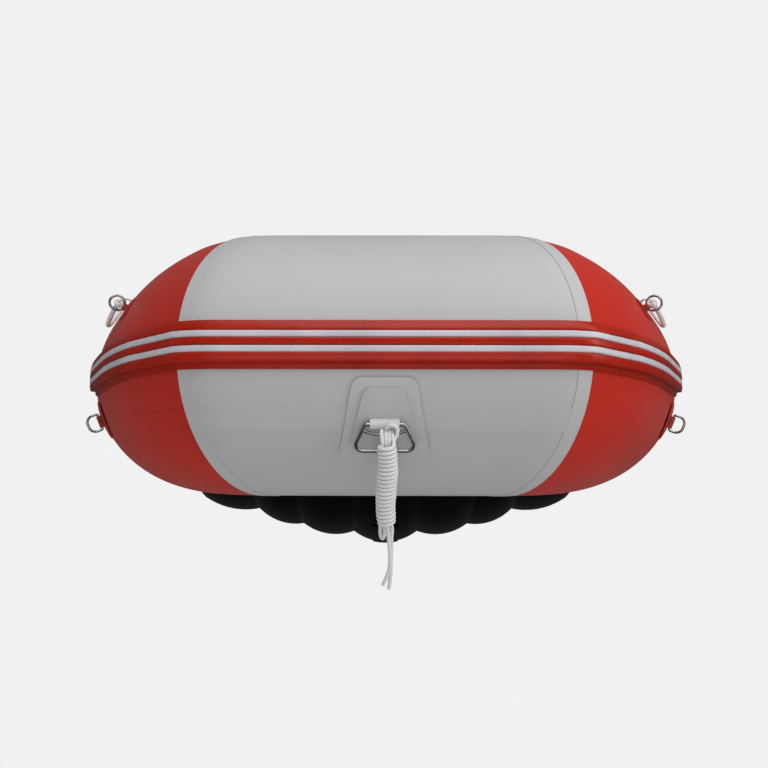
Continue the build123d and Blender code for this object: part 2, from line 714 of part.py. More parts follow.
DRAIN_FLANGE_RADIUS = 26.0
DRAIN_FLANGE_THICK = 4.0
DRAIN_STEM = 10.0
DRAIN_PLAY = 0.1
DRAIN_HEAD_RADIUS = 17.0
DRAIN_HEAD_THICK = 8.0
with BuildPart() as drain_body:
    with BuildSketch(across(TRANSOM_AFT + GLUE_GAP + DRAIN_FLANGE_THICK)):
        with Locations((DRAIN_X, DRAIN_Z)):
            Circle(DRAIN_FLANGE_RADIUS)
    extrude(amount=DRAIN_FLANGE_THICK)
    with BuildSketch(across(TRANSOM_AFT + GLUE_GAP)):
        with Locations((DRAIN_X, DRAIN_Z)):
            Circle(DRAIN_RADIUS - GLUE_GAP)
    extrude(amount=TRANSOM_THICK + 2 * GLUE_GAP)
    with BuildSketch(across(TRANSOM_AFT + GLUE_GAP + DRAIN_FLANGE_THICK)):
        with Locations((DRAIN_X, DRAIN_Z)):
            Circle(DRAIN_STEM + DRAIN_PLAY)
    extrude(amount=2 * TRANSOM_THICK, mode=Mode.SUBTRACT)
drain_body.part.label = "drain_body"
export_step(drain_body.part, "parts/drain_body.step")

with BuildPart() as drain_plug:
    drain_head = across(TRANSOM_AFT + 2 * GLUE_GAP + DRAIN_FLANGE_THICK + DRAIN_HEAD_THICK)
    with BuildSketch(drain_head):
        with Locations((DRAIN_X, DRAIN_Z)):
            Circle(DRAIN_HEAD_RADIUS)
    extrude(amount=DRAIN_HEAD_THICK)
    with BuildSketch(drain_head):
        with Locations((DRAIN_X, DRAIN_Z)):
            Circle(DRAIN_STEM)
    extrude(amount=DRAIN_HEAD_THICK + TRANSOM_THICK)
drain_plug.part.label = "drain_plug"
export_step(drain_plug.part, "parts/drain_plug.step")

EYE_PLATE = (30.0, 62.0)
EYE_PLATE_THICK = 4.0
STERN_EYE_HALF = 18.0
STERN_EYE_REACH = 34.0
STERN_EYE_ROD = 4.0
with BuildPart() as stern_eyes:
    eye_face = TRANSOM_AFT + GLUE_GAP + EYE_PLATE_THICK
    with BuildSketch(across(eye_face)):
        with Locations((STERN_EYE_X, STERN_EYE_Z)):
            RectangleRounded(*EYE_PLATE, STERN_EYE_ROD)
    extrude(amount=EYE_PLATE_THICK)
    upper = STERN_EYE_Z + STERN_EYE_HALF
    lower_z = STERN_EYE_Z - STERN_EYE_HALF
    reach = eye_face + STERN_EYE_REACH
    root = eye_face - EYE_PLATE_THICK / 2
    corners = [(root, upper), (reach, upper), (reach, lower_z), (root, lower_z)]
    add(bar([(STERN_EYE_X, y, z) for y, z in corners], STERN_EYE_HALF - 1, STERN_EYE_ROD))
    mirror(about=Plane.YZ)
stern_eyes.part.label = "stern_eyes"
export_step(stern_eyes.part, "parts/stern_eyes.step")


# ---- Air valves -------------------------------------------------------------------------------
def valve_outline():
    Circle(VALVE_FLANGE_RADIUS)


def valve_body(section, angle):
    """A valve's bonded flange, with its hollow body through the tube's wall."""
    bonded = TUBE_RADIUS + GLUE_GAP
    with BuildPart() as piece:
        add(patch(section, angle, valve_outline, bonded, bonded + VALVE_FLANGE_THICK))
        with BuildSketch(on_tube(section, angle, -VALVE_DEPTH)) as hub:
            Circle(VALVE_RADIUS)
        extrude(hub.sketch, amount=VALVE_DEPTH + VALVE_RISE)
        with BuildSketch(on_tube(section, angle, -VALVE_DEPTH)) as bore:
            Circle(VALVE_BORE)
        extrude(bore.sketch, amount=VALVE_DEPTH + VALVE_RISE, mode=Mode.SUBTRACT)
    return piece.part


def valve_cap(seat):
    """A bayonet cap with two finger flats, seated on a valve's rim."""
    with BuildPart() as piece:
        with BuildSketch(seat) as disc:
            Circle(VALVE_CAP_RADIUS)
        extrude(disc.sketch, amount=VALVE_CAP_HEIGHT / 2)
        with BuildSketch(seat) as grip:
            Circle(VALVE_CAP_RADIUS)
            Rectangle(1.2 * VALVE_CAP_RADIUS, 3 * VALVE_CAP_RADIUS, mode=Mode.INTERSECT)
        extrude(grip.sketch, amount=VALVE_CAP_HEIGHT)
    return piece.part


with BuildPart() as valve_bodies:
    add(valve_body(bow_valve_section, BOW_VALVE_ANGLE))
    add(valve_body(side_valve_section, SIDE_VALVE_ANGLE))
    mirror(valve_body(side_valve_section, SIDE_VALVE_ANGLE), about=Plane.YZ)
valve_bodies.part.label = "valve_bodies"
export_step(valve_bodies.part, "parts/valve_bodies.step")

CAP_RISE = VALVE_RISE + GLUE_GAP
with BuildPart() as bow_valve_cap:
    add(valve_cap(on_tube(bow_valve_section, BOW_VALVE_ANGLE, CAP_RISE)))
bow_valve_cap.part.label = "bow_valve_cap"
export_step(bow_valve_cap.part, "parts/bow_valve_cap.step")

with BuildPart() as starboard_valve_cap:
    add(valve_cap(on_tube(side_valve_section, SIDE_VALVE_ANGLE, CAP_RISE)))
starboard_valve_cap.part.label = "starboard_valve_cap"
export_step(starboard_valve_cap.part, "parts/starboard_valve_cap.step")

with BuildPart() as port_valve_cap:
    mirror(starboard_valve_cap.part, about=Plane.YZ)
port_valve_cap.part.label = "port_valve_cap"
export_step(port_valve_cap.part, "parts/port_valve_cap.step")

floor_valve_place = floor_valve_seat.origin + Vector(0, FLOOR_VALVE_Y, 0)
crown_centre, crown_radius = lobe(top_cusps[3], top_cusps[4], FLOOR_CROWN - FLOOR_TOP, 1)
with BuildPart() as floor_valve_body:
    with BuildSketch(Plane(floor_valve_place - Vector(0, 0, VALVE_FLANGE_THICK))):
        Circle(VALVE_FLANGE_RADIUS)
    extrude(amount=2 * VALVE_FLANGE_THICK + GLUE_GAP)
    with BuildSketch(across(FLOOR_VALVE_Y + 2 * VALVE_FLANGE_RADIUS)):
        with Locations((0, crown_centre.Y)):
            Circle(crown_radius + GLUE_GAP)
    extrude(amount=4 * VALVE_FLANGE_RADIUS, mode=Mode.SUBTRACT)
    with BuildSketch(Plane(floor_valve_place - Vector(0, 0, VALVE_DEPTH))):
        Circle(VALVE_RADIUS)
    extrude(amount=VALVE_DEPTH + VALVE_RISE)
    with BuildSketch(Plane(floor_valve_place - Vector(0, 0, VALVE_DEPTH))):
        Circle(VALVE_BORE)
    extrude(amount=VALVE_DEPTH + VALVE_RISE, mode=Mode.SUBTRACT)
floor_valve_body.part.label = "floor_valve_body"
export_step(floor_valve_body.part, "parts/floor_valve_body.step")

with BuildPart() as floor_valve_cap:
    add(valve_cap(Plane(floor_valve_place + Vector(0, 0, CAP_RISE))))
floor_valve_cap.part.label = "floor_valve_cap"
export_step(floor_valve_cap.part, "parts/floor_valve_cap.step")


# ---- Tow point --------------------------------------------------------------------------------
def tapered_outline(top_half, foot_half, reach, corner):
    """A four-sided patch, wider at its foot, with round corners."""
    Polygon((-top_half, -reach), (top_half, -reach), (foot_half, reach), (-foot_half, reach),
            align=None)
    fillet(vertices(), radius=corner)


def underlay_outline():
    tapered_outline(43.0, 66.0, 63.0, 16.0)


def tow_patch_outline():
    tapered_outline(28.0, 50.0, 44.6, 9.0)


UNDERLAY_ANGLE = -30.0
UNDERLAY_THICK = 1.0
TOW_PATCH_ANGLE = -28.75
TOW_PATCH_THICK = 3.4
TOW_PATCH_SEAT = PATCH_SEAT + UNDERLAY_THICK + GLUE_GAP
bow_middle = crosspiece.at(0)
roll_plane = on_tube(bow_middle, ROLL_ANGLE, ROLL_HEIGHT)
hinge = roll_plane.origin

with BuildPart() as tow_patch_base:
    add(patch(bow_middle, UNDERLAY_ANGLE, underlay_outline, PATCH_SEAT,
              PATCH_SEAT + UNDERLAY_THICK))
tow_patch_base.part.label = "tow_patch_base"
export_step(tow_patch_base.part, "parts/tow_patch_base.step")

with BuildPart() as tow_patch:
    add(patch(bow_middle, TOW_PATCH_ANGLE, tow_patch_outline, TOW_PATCH_SEAT,
              TOW_PATCH_SEAT + TOW_PATCH_THICK))
tow_patch.part.label = "tow_patch"
export_step(tow_patch.part, "parts/tow_patch.step")


def webbing_loop(plane, radius, half, bore, foot_half, foot_drop):
    """A webbing loop round a bar along the plane's x axis, with the foot that it is bonded by."""
    with BuildPart() as piece:
        with BuildSketch(Plane(plane.origin - plane.x_dir * half, x_dir=plane.z_dir,
                               z_dir=plane.x_dir)) as round_loop:
            Circle(radius)
            with Locations((-foot_drop / 2, 0)):
                Rectangle(foot_drop, 2 * foot_half)
            Circle(bore, mode=Mode.SUBTRACT)
        extrude(round_loop.sketch, amount=2 * half, dir=plane.x_dir)
    return piece.part


ROLL_FOOT_HALF = 6.0
RING_PLAY = 0.4
with BuildPart() as tow_strap:
    foot_drop = TUBE_RADIUS + ROLL_HEIGHT - (TOW_PATCH_SEAT + TOW_PATCH_THICK + GLUE_GAP)
    add(webbing_loop(roll_plane, ROLL_RADIUS, ROLL_HALF, RING_WIRE + RING_PLAY,
                     ROLL_FOOT_HALF, foot_drop))
tow_strap.part.label = "tow_strap"
export_step(tow_strap.part, "parts/tow_strap.step")

RING_TOP_BEND = 5.0
RING_BASE_BEND = 9.0
RING_BAR_END = 8.0
RING_BAR_WIRE = 2.2
with BuildPart() as tow_ring:
    top, base = RING_TOP_HALF, RING_BASE_HALF - RING_WIRE
    outline = [(-top, 0), (top, 0), (base, -RING_DROP), (-base, -RING_DROP)]
    outline = [(hinge.X + x, hinge.Y, hinge.Z + z) for x, z in outline]
    bends = [RING_TOP_BEND, RING_TOP_BEND, RING_BASE_BEND, RING_BASE_BEND]
    add(bar(outline, bends, RING_WIRE, close=True))
    bar_end = top + (base - top) * RING_BAR_END / RING_DROP
    with BuildLine() as dip:
        ThreePointArc(
            hinge + Vector(-bar_end, 0, -RING_BAR_END),
            hinge + Vector(0, 0, -RING_BAR_DIP),
            hinge + Vector(bar_end, 0, -RING_BAR_END),
        )
    with BuildSketch(Plane(origin=dip.line @ 0, z_dir=dip.line % 0)):
        Circle(RING_BAR_WIRE)
    sweep(path=dip.line)
tow_ring.part.label = "tow_ring"
export_step(tow_ring.part, "parts/tow_ring.step")

# ---- Painter: a thin rope tied to the tow ring's inner bar and wound into a hank ----------------
HANK_AHEAD = 21.0
HANK_TOP_RADIUS = 10.5
HANK_FOOT_RADIUS = 12.0
BIGHT_X = -4.0
BIGHT_HALF = 5.8
with BuildPart() as painter_hank:
    hank_axis = hinge + Vector(HANK_X, -HANK_AHEAD, 0)
    hank_plane = Plane(hank_axis, x_dir=(1, 0, 0), z_dir=(0, -1, 0))
    with BuildSketch(hank_plane):
        with BuildLine():
            Polyline((0, -HANK_FOOT), (0, -HANK_TOP), (HANK_TOP_RADIUS, -HANK_TOP))
            ThreePointArc(
                (HANK_TOP_RADIUS, -HANK_TOP),
                (HANK_RADIUS, -(HANK_TOP + HANK_FOOT) / 2),
                (HANK_FOOT_RADIUS, -HANK_FOOT),
            )
            Line((HANK_FOOT_RADIUS, -HANK_FOOT), (0, -HANK_FOOT))
        make_face()
    revolve(axis=Axis(hank_axis, (0, 0, 1)))
    with BuildSketch(hank_plane.offset(-ROPE_RADIUS)):
        with Locations((BIGHT_X - HANK_X, -(HANK_FOOT + BIGHT_FOOT) / 2)):
            RectangleRounded(2 * BIGHT_HALF, BIGHT_FOOT - HANK_FOOT + 2 * ROPE_RADIUS,
                             BIGHT_HALF - 0.1)
    extrude(amount=2 * ROPE_RADIUS)
painter_hank.part.label = "painter_hank"
export_step(painter_hank.part, "parts/painter_hank.step")


def painter_route(*places):
    """Points given from the tow ring's hinge: to port, ahead and down."""
    return [hinge + Vector(x, -ahead, -down) for x, ahead, down in places]


TIE_ROUTE = painter_route((1, 3.7, 15), (3, 11, 18), (5, 16, 25.2))
TIE_BEND = 6.0
LONG_TAIL = painter_route((8, 19, 144.5), (9.3, 19, 158), (9.6, 19, 176), (9.0, 19, 196),
                          (8.6, 19, 214), (7.4, 19, 228), (5.9, 19, 238))
SHORT_TAIL = painter_route((5.0, 24.8, 144.6), (5.8, 24.9, 160), (7.4, 24.8, 178), (7.8, 24.8, 196),
                           (5.2, 24.6, 210), (0.8, 24.5, 221), (-2.6, 24.4, 229))


def bend_radii(route):
    """An arc for each corner, as large as the two runs beside it allow."""
    radii = []
    for before, at, after in zip(route, route[1:], route[2:]):
        first, second = at - before, after - at
        turn = radians(first.get_angle(second))
        radii.append(0.45 * min(first.length, second.length) / tan(turn / 2))
    return radii


with BuildPart() as painter_tie:
    add(bar(TIE_ROUTE, TIE_BEND, ROPE_RADIUS))
painter_tie.part.label = "painter_tie"
export_step(painter_tie.part, "parts/painter_tie.step")

with BuildPart() as painter_tails:
    for route in (LONG_TAIL, SHORT_TAIL):
        add(bar(route, bend_radii(route), ROPE_RADIUS))
        print("painter tail radii", [round(radius) for radius in bend_radii(route)])
painter_tails.part.label = "painter_tails"
export_step(painter_tails.part, "parts/painter_tails.step")

# ---- Side rings -------------------------------------------------------------------------------
SIDE_PATCH_RADIUS = 36.0
SIDE_PATCH_THICK = 1.5
SIDE_STRAP_RADIUS = 4.2
SIDE_STRAP_HALF = 11.0
SIDE_STRAP_FOOT = 9.0
SIDE_RING_BEND = 4.0
SIDE_RING_BOW = 12.0
side_ring_section = quarter.at(SIDE_RING_TURN)
side_ring_plane = on_tube(side_ring_section, SIDE_RING_ANGLE, SIDE_RING_HEIGHT)
side_bar_plane = Plane(side_ring_plane.origin, x_dir=side_ring_plane.y_dir,
                       z_dir=side_ring_plane.z_dir)


def side_patch_outline():
    Circle(SIDE_PATCH_RADIUS)


with BuildPart() as side_ring_patches:
    add(patch(side_ring_section, SIDE_RING_ANGLE, side_patch_outline, PATCH_SEAT,
              PATCH_SEAT + SIDE_PATCH_THICK))
    mirror(about=Plane.YZ)
side_ring_patches.part.label = "side_ring_patches"
export_step(side_ring_patches.part, "parts/side_ring_patches.step")

with BuildPart() as side_ring_straps:
    strap_drop = TUBE_RADIUS + SIDE_RING_HEIGHT - (PATCH_SEAT + SIDE_PATCH_THICK + GLUE_GAP)
    add(webbing_loop(side_bar_plane, SIDE_STRAP_RADIUS, SIDE_STRAP_HALF,
                     SIDE_RING_WIRE + RING_PLAY, SIDE_STRAP_FOOT, strap_drop))
    mirror(about=Plane.YZ)
side_ring_straps.part.label = "side_ring_straps"
export_step(side_ring_straps.part, "parts/side_ring_straps.step")

with BuildPart() as starboard_side_ring:
    half, reach_out = SIDE_RING_HALF, SIDE_RING_REACH - SIDE_RING_WIRE
    loop = [(-half, 0, 0), (half, 0, 0), (half, 0, reach_out), (-half, 0, reach_out)]
    bends = [SIDE_RING_BEND, SIDE_RING_BEND, SIDE_RING_BOW, SIDE_RING_BOW]
    add(bar([side_bar_plane.from_local_coords(p) for p in loop], bends, SIDE_RING_WIRE, close=True))
starboard_side_ring.part.label = "starboard_side_ring"
export_step(starboard_side_ring.part, "parts/starboard_side_ring.step")

with BuildPart() as port_side_ring:
    mirror(starboard_side_ring.part, about=Plane.YZ)
port_side_ring.part.label = "port_side_ring"
export_step(port_side_ring.part, "parts/port_side_ring.step")

# ---- Lifelines --------------------------------------------------------------------------------
EYE_PATCH = (42.0, 36.0)
EYE_PATCH_CORNER = 8.0
EYE_PATCH_THICK = 1.5
EYE_STRAP_RADIUS = 3.9
LIFELINE_STATIONS = (
    (shoulder, 12.0), (quarter, 14.0), (quarter, 32.0), (side, 380.0), (side, 900.0),
)
eye_sections = [leg.at(travel) for leg, travel in LIFELINE_STATIONS]


def eye_outline():
    RectangleRounded(*EYE_PATCH, EYE_PATCH_CORNER)


with BuildPart() as lifeline_patches:
    for section, angle in zip(eye_sections, EYE_ANGLES):
        bonded = TUBE_RADIUS + GLUE_GAP
        add(patch(section, angle, eye_outline, bonded, bonded + EYE_PATCH_THICK,
                  half_length=EYE_PATCH[0]))
    mirror(about=Plane.YZ)
lifeline_patches.part.label = "lifeline_patches"
export_step(lifeline_patches.part, "parts/lifeline_patches.step")


def eye_ring(section, angle, wire):
    """A round ring that stands square to the hull's run."""
    seat = on_tube(section, angle, EYE_BAR_HEIGHT + EYE_RING_RADIUS)
    ring_plane = Plane(seat.origin, x_dir=seat.z_dir, z_dir=seat.x_dir)
    with BuildPart() as piece:
        with BuildSketch(Plane(ring_plane.origin + ring_plane.x_dir * EYE_RING_RADIUS,
                               x_dir=ring_plane.x_dir, z_dir=ring_plane.y_dir)) as wire_section:
            Circle(wire)
        revolve(wire_section.sketch, axis=Axis(ring_plane.origin, ring_plane.z_dir))
    return piece.part


def eye_strap(section, angle):
    """A strip of webbing folded over the ring and bonded to its patch."""
    plane = on_tube(section, angle, EYE_BAR_HEIGHT)
    bar_plane = Plane(plane.origin, x_dir=plane.y_dir, z_dir=plane.z_dir)
    drop = EYE_BAR_HEIGHT - EYE_PATCH_THICK - 2 * GLUE_GAP
    strap = webbing_loop(bar_plane, EYE_STRAP_RADIUS, EYE_STRAP_HALF, EYE_WIRE / 2,
                         EYE_STRAP_RADIUS + 2, drop)
    return strap - eye_ring(section, angle, EYE_WIRE + GLUE_GAP)


with BuildPart() as lifeline_straps:
    for section, angle in zip(eye_sections, EYE_ANGLES):
        add(eye_strap(section, angle))
    mirror(about=Plane.YZ)
lifeline_straps.part.label = "lifeline_straps"
export_step(lifeline_straps.part, "parts/lifeline_straps.step")

with BuildPart() as lifeline_rings:
    for section, angle in zip(eye_sections, EYE_ANGLES):
        add(eye_ring(section, angle, EYE_WIRE))
    mirror(about=Plane.YZ)
lifeline_rings.part.label = "lifeline_rings"
export_step(lifeline_rings.part, "parts/lifeline_rings.step")

LIFELINE_SAG = 8.0          # how far it drops between two eyes, as an angle round the tube
LIFELINE_PEAK = 0.45        # its highest points below the middle of the rings, as an angle
LIFELINE_REST = 6.0         # its height over the tube midway between two eyes
LIFELINE_END = 16.0
SHOULDER_LENGTH = radians(shoulder.travel) * SHOULDER_RADIUS
QUARTER_LENGTH = radians(quarter.travel) * QUARTER_RADIUS


def distance(leg, travel):
    """How far along the centreline a place is, from the start of the shoulder."""
    if leg is shoulder:
        return radians(travel) * SHOULDER_RADIUS
    if leg is quarter:
        return SHOULDER_LENGTH + radians(travel) * QUARTER_RADIUS
    return SHOULDER_LENGTH + QUARTER_LENGTH + travel


def section_at(along):
    """The section plane at a distance along the centreline."""
    if along < SHOULDER_LENGTH:
        return shoulder.at(degrees(along / SHOULDER_RADIUS))
    if along < SHOULDER_LENGTH + QUARTER_LENGTH:
        return quarter.at(degrees((along - SHOULDER_LENGTH) / QUARTER_RADIUS))
    return side.at(along - SHOULDER_LENGTH - QUARTER_LENGTH)


eye_places = [distance(leg, travel) for leg, travel in LIFELINE_STATIONS]


def eye_angle(along):
    """The lifeline's angle round the tube. It changes over the middle half of each span."""
    for number in range(len(eye_places) - 1):
        first, last = eye_places[number:number + 2]
        if along < last:
            share = max(0, min(1, 2 * (along - first) / (last - first) - 0.5))
            return EYE_ANGLES[number] + (EYE_ANGLES[number + 1] - EYE_ANGLES[number]) * share
    return EYE_ANGLES[-1]


def lifeline_point(along, slack):
    """A point of the lifeline, where slack is 0 at an eye and 1 midway between two."""
    peak = EYE_BAR_HEIGHT + EYE_RING_RADIUS
    height = peak + (LIFELINE_REST - peak) * slack
    angle = eye_angle(along) - LIFELINE_PEAK - LIFELINE_SAG * slack
    return on_tube(section_at(along), angle, height).origin


LIFELINE_ROUTE = [lifeline_point(eye_places[0] - LIFELINE_END, 0.1)]
for first, last in zip(eye_places, eye_places[1:]):
    for step in range(4):
        LIFELINE_ROUTE.append(lifeline_point(first + (last - first) * step / 4,
                                             sin(radians(180 * step / 4)) ** 2))
LIFELINE_ROUTE.append(lifeline_point(eye_places[-1], 0))
LIFELINE_ROUTE.append(lifeline_point(eye_places[-1] + LIFELINE_END, 0.1))

with BuildPart() as starboard_lifeline:
    add(bar(LIFELINE_ROUTE, bend_radii(LIFELINE_ROUTE), LIFELINE_RADIUS))
starboard_lifeline.part.label = "starboard_lifeline"
export_step(starboard_lifeline.part, "parts/starboard_lifeline.step")

with BuildPart() as port_lifeline:
    mirror(starboard_lifeline.part, about=Plane.YZ)
port_lifeline.part.label = "port_lifeline"
export_step(port_lifeline.part, "parts/port_lifeline.step")

# ---- Rowlocks ---------------------------------------------------------------------------------
ROWLOCK_PAD = (92.0, 70.0)
ROWLOCK_PAD_THICK = 4.0
ROWLOCK_BOSS_RADIUS = 17.0
ROWLOCK_BOSS_TOP = 26.0
ROWLOCK_COLLAR_RADIUS = 14.0
ROWLOCK_COLLAR = 5.0
PAD_ROUND = 14.0
rowlock_section = upright(quarter_end.origin.Y + ROWLOCK_BACK)
rowlock_top = on_tube(rowlock_section, 90)


def rowlock_outline():
    RectangleRounded(*ROWLOCK_PAD, PAD_ROUND)


with BuildPart() as rowlock_bases:
    pad_top = GLUE_GAP + ROWLOCK_PAD_THICK
    add(patch(rowlock_section, 90, rowlock_outline, TUBE_RADIUS + GLUE_GAP, TUBE_RADIUS + pad_top))
    with BuildSketch(rowlock_top.offset(GLUE_GAP + 1)):
        Circle(ROWLOCK_BOSS_RADIUS)
    extrude(amount=ROWLOCK_BOSS_TOP - GLUE_GAP - 1)
    with BuildSketch(rowlock_top.offset(pad_top)):
        Circle(ROWLOCK_BORE)
    extrude(amount=ROWLOCK_BOSS_TOP, mode=Mode.SUBTRACT)
    mirror(about=Plane.YZ)
rowlock_bases.part.label = "rowlock_bases"
export_step(rowlock_bases.part, "parts/rowlock_bases.step")

with BuildPart() as starboard_rowlock:
    with BuildSketch(rowlock_top.offset(pad_top + GLUE_GAP)):
        Circle(ROWLOCK_PIN)
    extrude(amount=ROWLOCK_BOSS_TOP - pad_top + ROWLOCK_COLLAR)
    with BuildSketch(rowlock_top.offset(ROWLOCK_BOSS_TOP + GLUE_GAP)):
        Circle(ROWLOCK_COLLAR_RADIUS)
    extrude(amount=ROWLOCK_COLLAR)
    arm = ROWLOCK_OPENING + ROWLOCK_ROD
    bottom = ROWLOCK_BOSS_TOP + GLUE_GAP + ROWLOCK_COLLAR + ROWLOCK_ROD - 2
    fork = [(-arm, 0, ROWLOCK_ARMS), (-arm, 0, bottom), (arm, 0, bottom), (arm, 0, ROWLOCK_ARMS)]
    add(bar([rowlock_top.from_local_coords(p) for p in fork], ROWLOCK_OPENING, ROWLOCK_ROD))
starboard_rowlock.part.label = "starboard_rowlock"
export_step(starboard_rowlock.part, "parts/starboard_rowlock.step")

with BuildPart() as port_rowlock:
    mirror(starboard_rowlock.part, about=Plane.YZ)
port_rowlock.part.label = "port_rowlock"
export_step(port_rowlock.part, "parts/port_rowlock.step")

# ---- Carrying handles -------------------------------------------------------------------------
HANDLE_PAD = (210.0, 62.0)
HANDLE_PAD_THICK = 3.0
HANDLE_SPLAY = 14.0
HANDLE_BEND = 18.0
handle_section = upright(quarter_end.origin.Y + HANDLE_BACK)
handle_top = on_tube(handle_section, 90)


def handle_outline():
    RectangleRounded(*HANDLE_PAD, PAD_ROUND)


with BuildPart() as grab_handles:
    add(patch(handle_section, 90, handle_outline, TUBE_RADIUS + GLUE_GAP,
              TUBE_RADIUS + GLUE_GAP + HANDLE_PAD_THICK))
    root = HANDLE_HALF + HANDLE_SPLAY
    arch = [(-root, 0, 2), (-HANDLE_HALF, 0, HANDLE_RISE), (HANDLE_HALF, 0, HANDLE_RISE),
            (root, 0, 2)]
    add(bar([handle_top.from_local_coords(p) for p in arch], HANDLE_BEND, HANDLE_GRIP))
    with BuildSketch(Plane(handle_section.origin - handle_section.z_dir * HANDLE_PAD[0],
                           x_dir=handle_section.x_dir, z_dir=handle_section.z_dir)):
        Circle(TUBE_RADIUS + GLUE_GAP)
    extrude(amount=2 * HANDLE_PAD[0], mode=Mode.SUBTRACT)
    mirror(about=Plane.YZ)
grab_handles.part.label = "grab_handles"
export_step(grab_handles.part, "parts/grab_handles.step")

# ---- Thwarts, sliding on rails ----------------------------------------------------------------
RAIL_SPREAD = degrees(RAIL_WIDTH / 2 / TUBE_RADIUS)
THWART_END = 150.0          # the boards' ends, inboard of the tube's axis
THWART_CORNER = 24.0
THWART_ROUND = 6.0
SHELF_THICK = 12.0
with BuildPart() as seat_rails:
    with BuildSketch(upright(quarter_end.origin.Y + RAIL_START)):
        sector_section(TUBE_RADIUS + GLUE_GAP, TUBE_RADIUS + GLUE_GAP + RAIL_HEIGHT,
                       RAIL_ANGLE - RAIL_SPREAD, RAIL_ANGLE + RAIL_SPREAD)
    extrude(amount=RAIL_END - RAIL_START)
    mirror(about=Plane.YZ)
seat_rails.part.label = "seat_rails"
export_step(seat_rails.part, "parts/seat_rails.step")

rail_out = round_tube(1, RAIL_ANGLE)
rail_along = round_tube(1, RAIL_ANGLE + 90)
CLIP_FOOT = TUBE_RADIUS + 1.5
CLIP_ROOF = TUBE_RADIUS + GLUE_GAP + RAIL_HEIGHT + THWART_PLAY
clip_inner_half = RAIL_WIDTH / 2 + THWART_PLAY
clip_half = clip_inner_half + CLIP_WALL
clip_top = rail_out * (CLIP_ROOF + CLIP_WALL) - rail_along * clip_half


def clip_section():
    """A channel over the rail, with a level shelf for the thwart's end."""
    outboard_foot = rail_out * CLIP_FOOT - rail_along * clip_half
    inboard_foot = rail_out * CLIP_FOOT + rail_along * clip_half
    shelf = [(-CLIP_SHELF, clip_top.Y), (-CLIP_SHELF, clip_top.Y - SHELF_THICK)]
    Polygon((outboard_foot.X, outboard_foot.Y), (clip_top.X, clip_top.Y), *shelf,
            (inboard_foot.X, inboard_foot.Y), align=None)
    channel = [rail_out * reach + rail_along * across_rail for reach, across_rail in (
        (TUBE_RADIUS / 2, -clip_inner_half), (CLIP_ROOF, -clip_inner_half),
        (CLIP_ROOF, clip_inner_half), (TUBE_RADIUS / 2, clip_inner_half))]
    Polygon(*[(p.X, p.Y) for p in channel], align=None, mode=Mode.SUBTRACT)
    Circle(CLIP_FOOT, mode=Mode.SUBTRACT)


THWART_SEAT = AXIS_Z + clip_top.Y + GLUE_GAP
for name, back in (("fore_thwart", FORE_THWART_BACK), ("aft_thwart", AFT_THWART_BACK)):
    middle = quarter_end.origin.Y + back
    with BuildPart() as thwart_clips:
        with BuildSketch(upright(middle - CLIP_HALF)):
            clip_section()
        extrude(amount=2 * CLIP_HALF)
        mirror(about=Plane.YZ)
    thwart_clips.part.label = f"{name}_clips"
    export_step(thwart_clips.part, f"parts/{name}_clips.step")
    with BuildPart() as thwart:
        with BuildSketch(Plane.XY.offset(THWART_SEAT)):
            with Locations((0, middle)):
                RectangleRounded(2 * (AXIS_X - THWART_END), THWART_WIDTH, THWART_CORNER)
        extrude(amount=THWART_THICK)
        fillet(thwart.faces().sort_by(Axis.Z)[-1].edges(), radius=THWART_ROUND)
    thwart.part.label = name
    export_step(thwart.part, f"parts/{name}.step")
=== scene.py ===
# %% [markdown]
# # An inflatable dinghy
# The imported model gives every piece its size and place. This file gives the boat its looks: the
# big inflated shapes are made again as smooth meshes, the rope is wound turn by turn, and every
# piece gets a material built from shader nodes. We start by loading the frame.

# %% Load the frame
from math import asin, cos, degrees, pi, radians, sin, tan

import bmesh
import bpy
import numpy as np
from mathutils import Matrix, Vector
from mathutils.bvhtree import BVHTree


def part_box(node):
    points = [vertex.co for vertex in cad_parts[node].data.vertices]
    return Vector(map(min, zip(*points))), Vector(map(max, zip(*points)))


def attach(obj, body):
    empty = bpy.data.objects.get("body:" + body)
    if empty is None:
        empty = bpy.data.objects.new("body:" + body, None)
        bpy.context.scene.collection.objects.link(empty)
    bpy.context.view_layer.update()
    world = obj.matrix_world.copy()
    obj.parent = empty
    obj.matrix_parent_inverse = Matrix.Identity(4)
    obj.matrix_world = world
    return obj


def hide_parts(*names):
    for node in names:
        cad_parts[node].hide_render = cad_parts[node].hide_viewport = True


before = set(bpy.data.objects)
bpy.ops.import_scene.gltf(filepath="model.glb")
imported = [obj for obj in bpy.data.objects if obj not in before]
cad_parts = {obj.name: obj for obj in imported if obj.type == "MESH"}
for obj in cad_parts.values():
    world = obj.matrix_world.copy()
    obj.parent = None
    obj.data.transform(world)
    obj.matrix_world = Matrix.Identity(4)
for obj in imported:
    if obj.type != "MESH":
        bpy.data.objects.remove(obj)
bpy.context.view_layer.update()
scene = bpy.context.scene
MM = 0.001

# %% [markdown]
# ## The camera
# The boat is seen from just ahead of its bow and a little above it, so the far end of the hull
# shrinks behind the bow. The camera stands on the centreline and is placed from the bow tube.

# %% Camera
bow_low, bow_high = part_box("bow_tube")
BOW = (bow_low + bow_high) / 2
CAMERA_AHEAD = 1.165
CAMERA_ABOVE = 0.283
camera_data = bpy.data.cameras.new("camera")
camera_data.sensor_width = 36.0
camera_data.lens = 34.29
camera = bpy.data.objects.new("camera", camera_data)
camera.location = BOW + Vector((0.0035, -CAMERA_AHEAD, CAMERA_ABOVE))
camera.rotation_euler = (radians(90 - 15.05), 0, radians(0.27))
scene.collection.objects.link(camera)
scene.camera = camera
print("camera at", [round(v, 3) for v in camera.location])

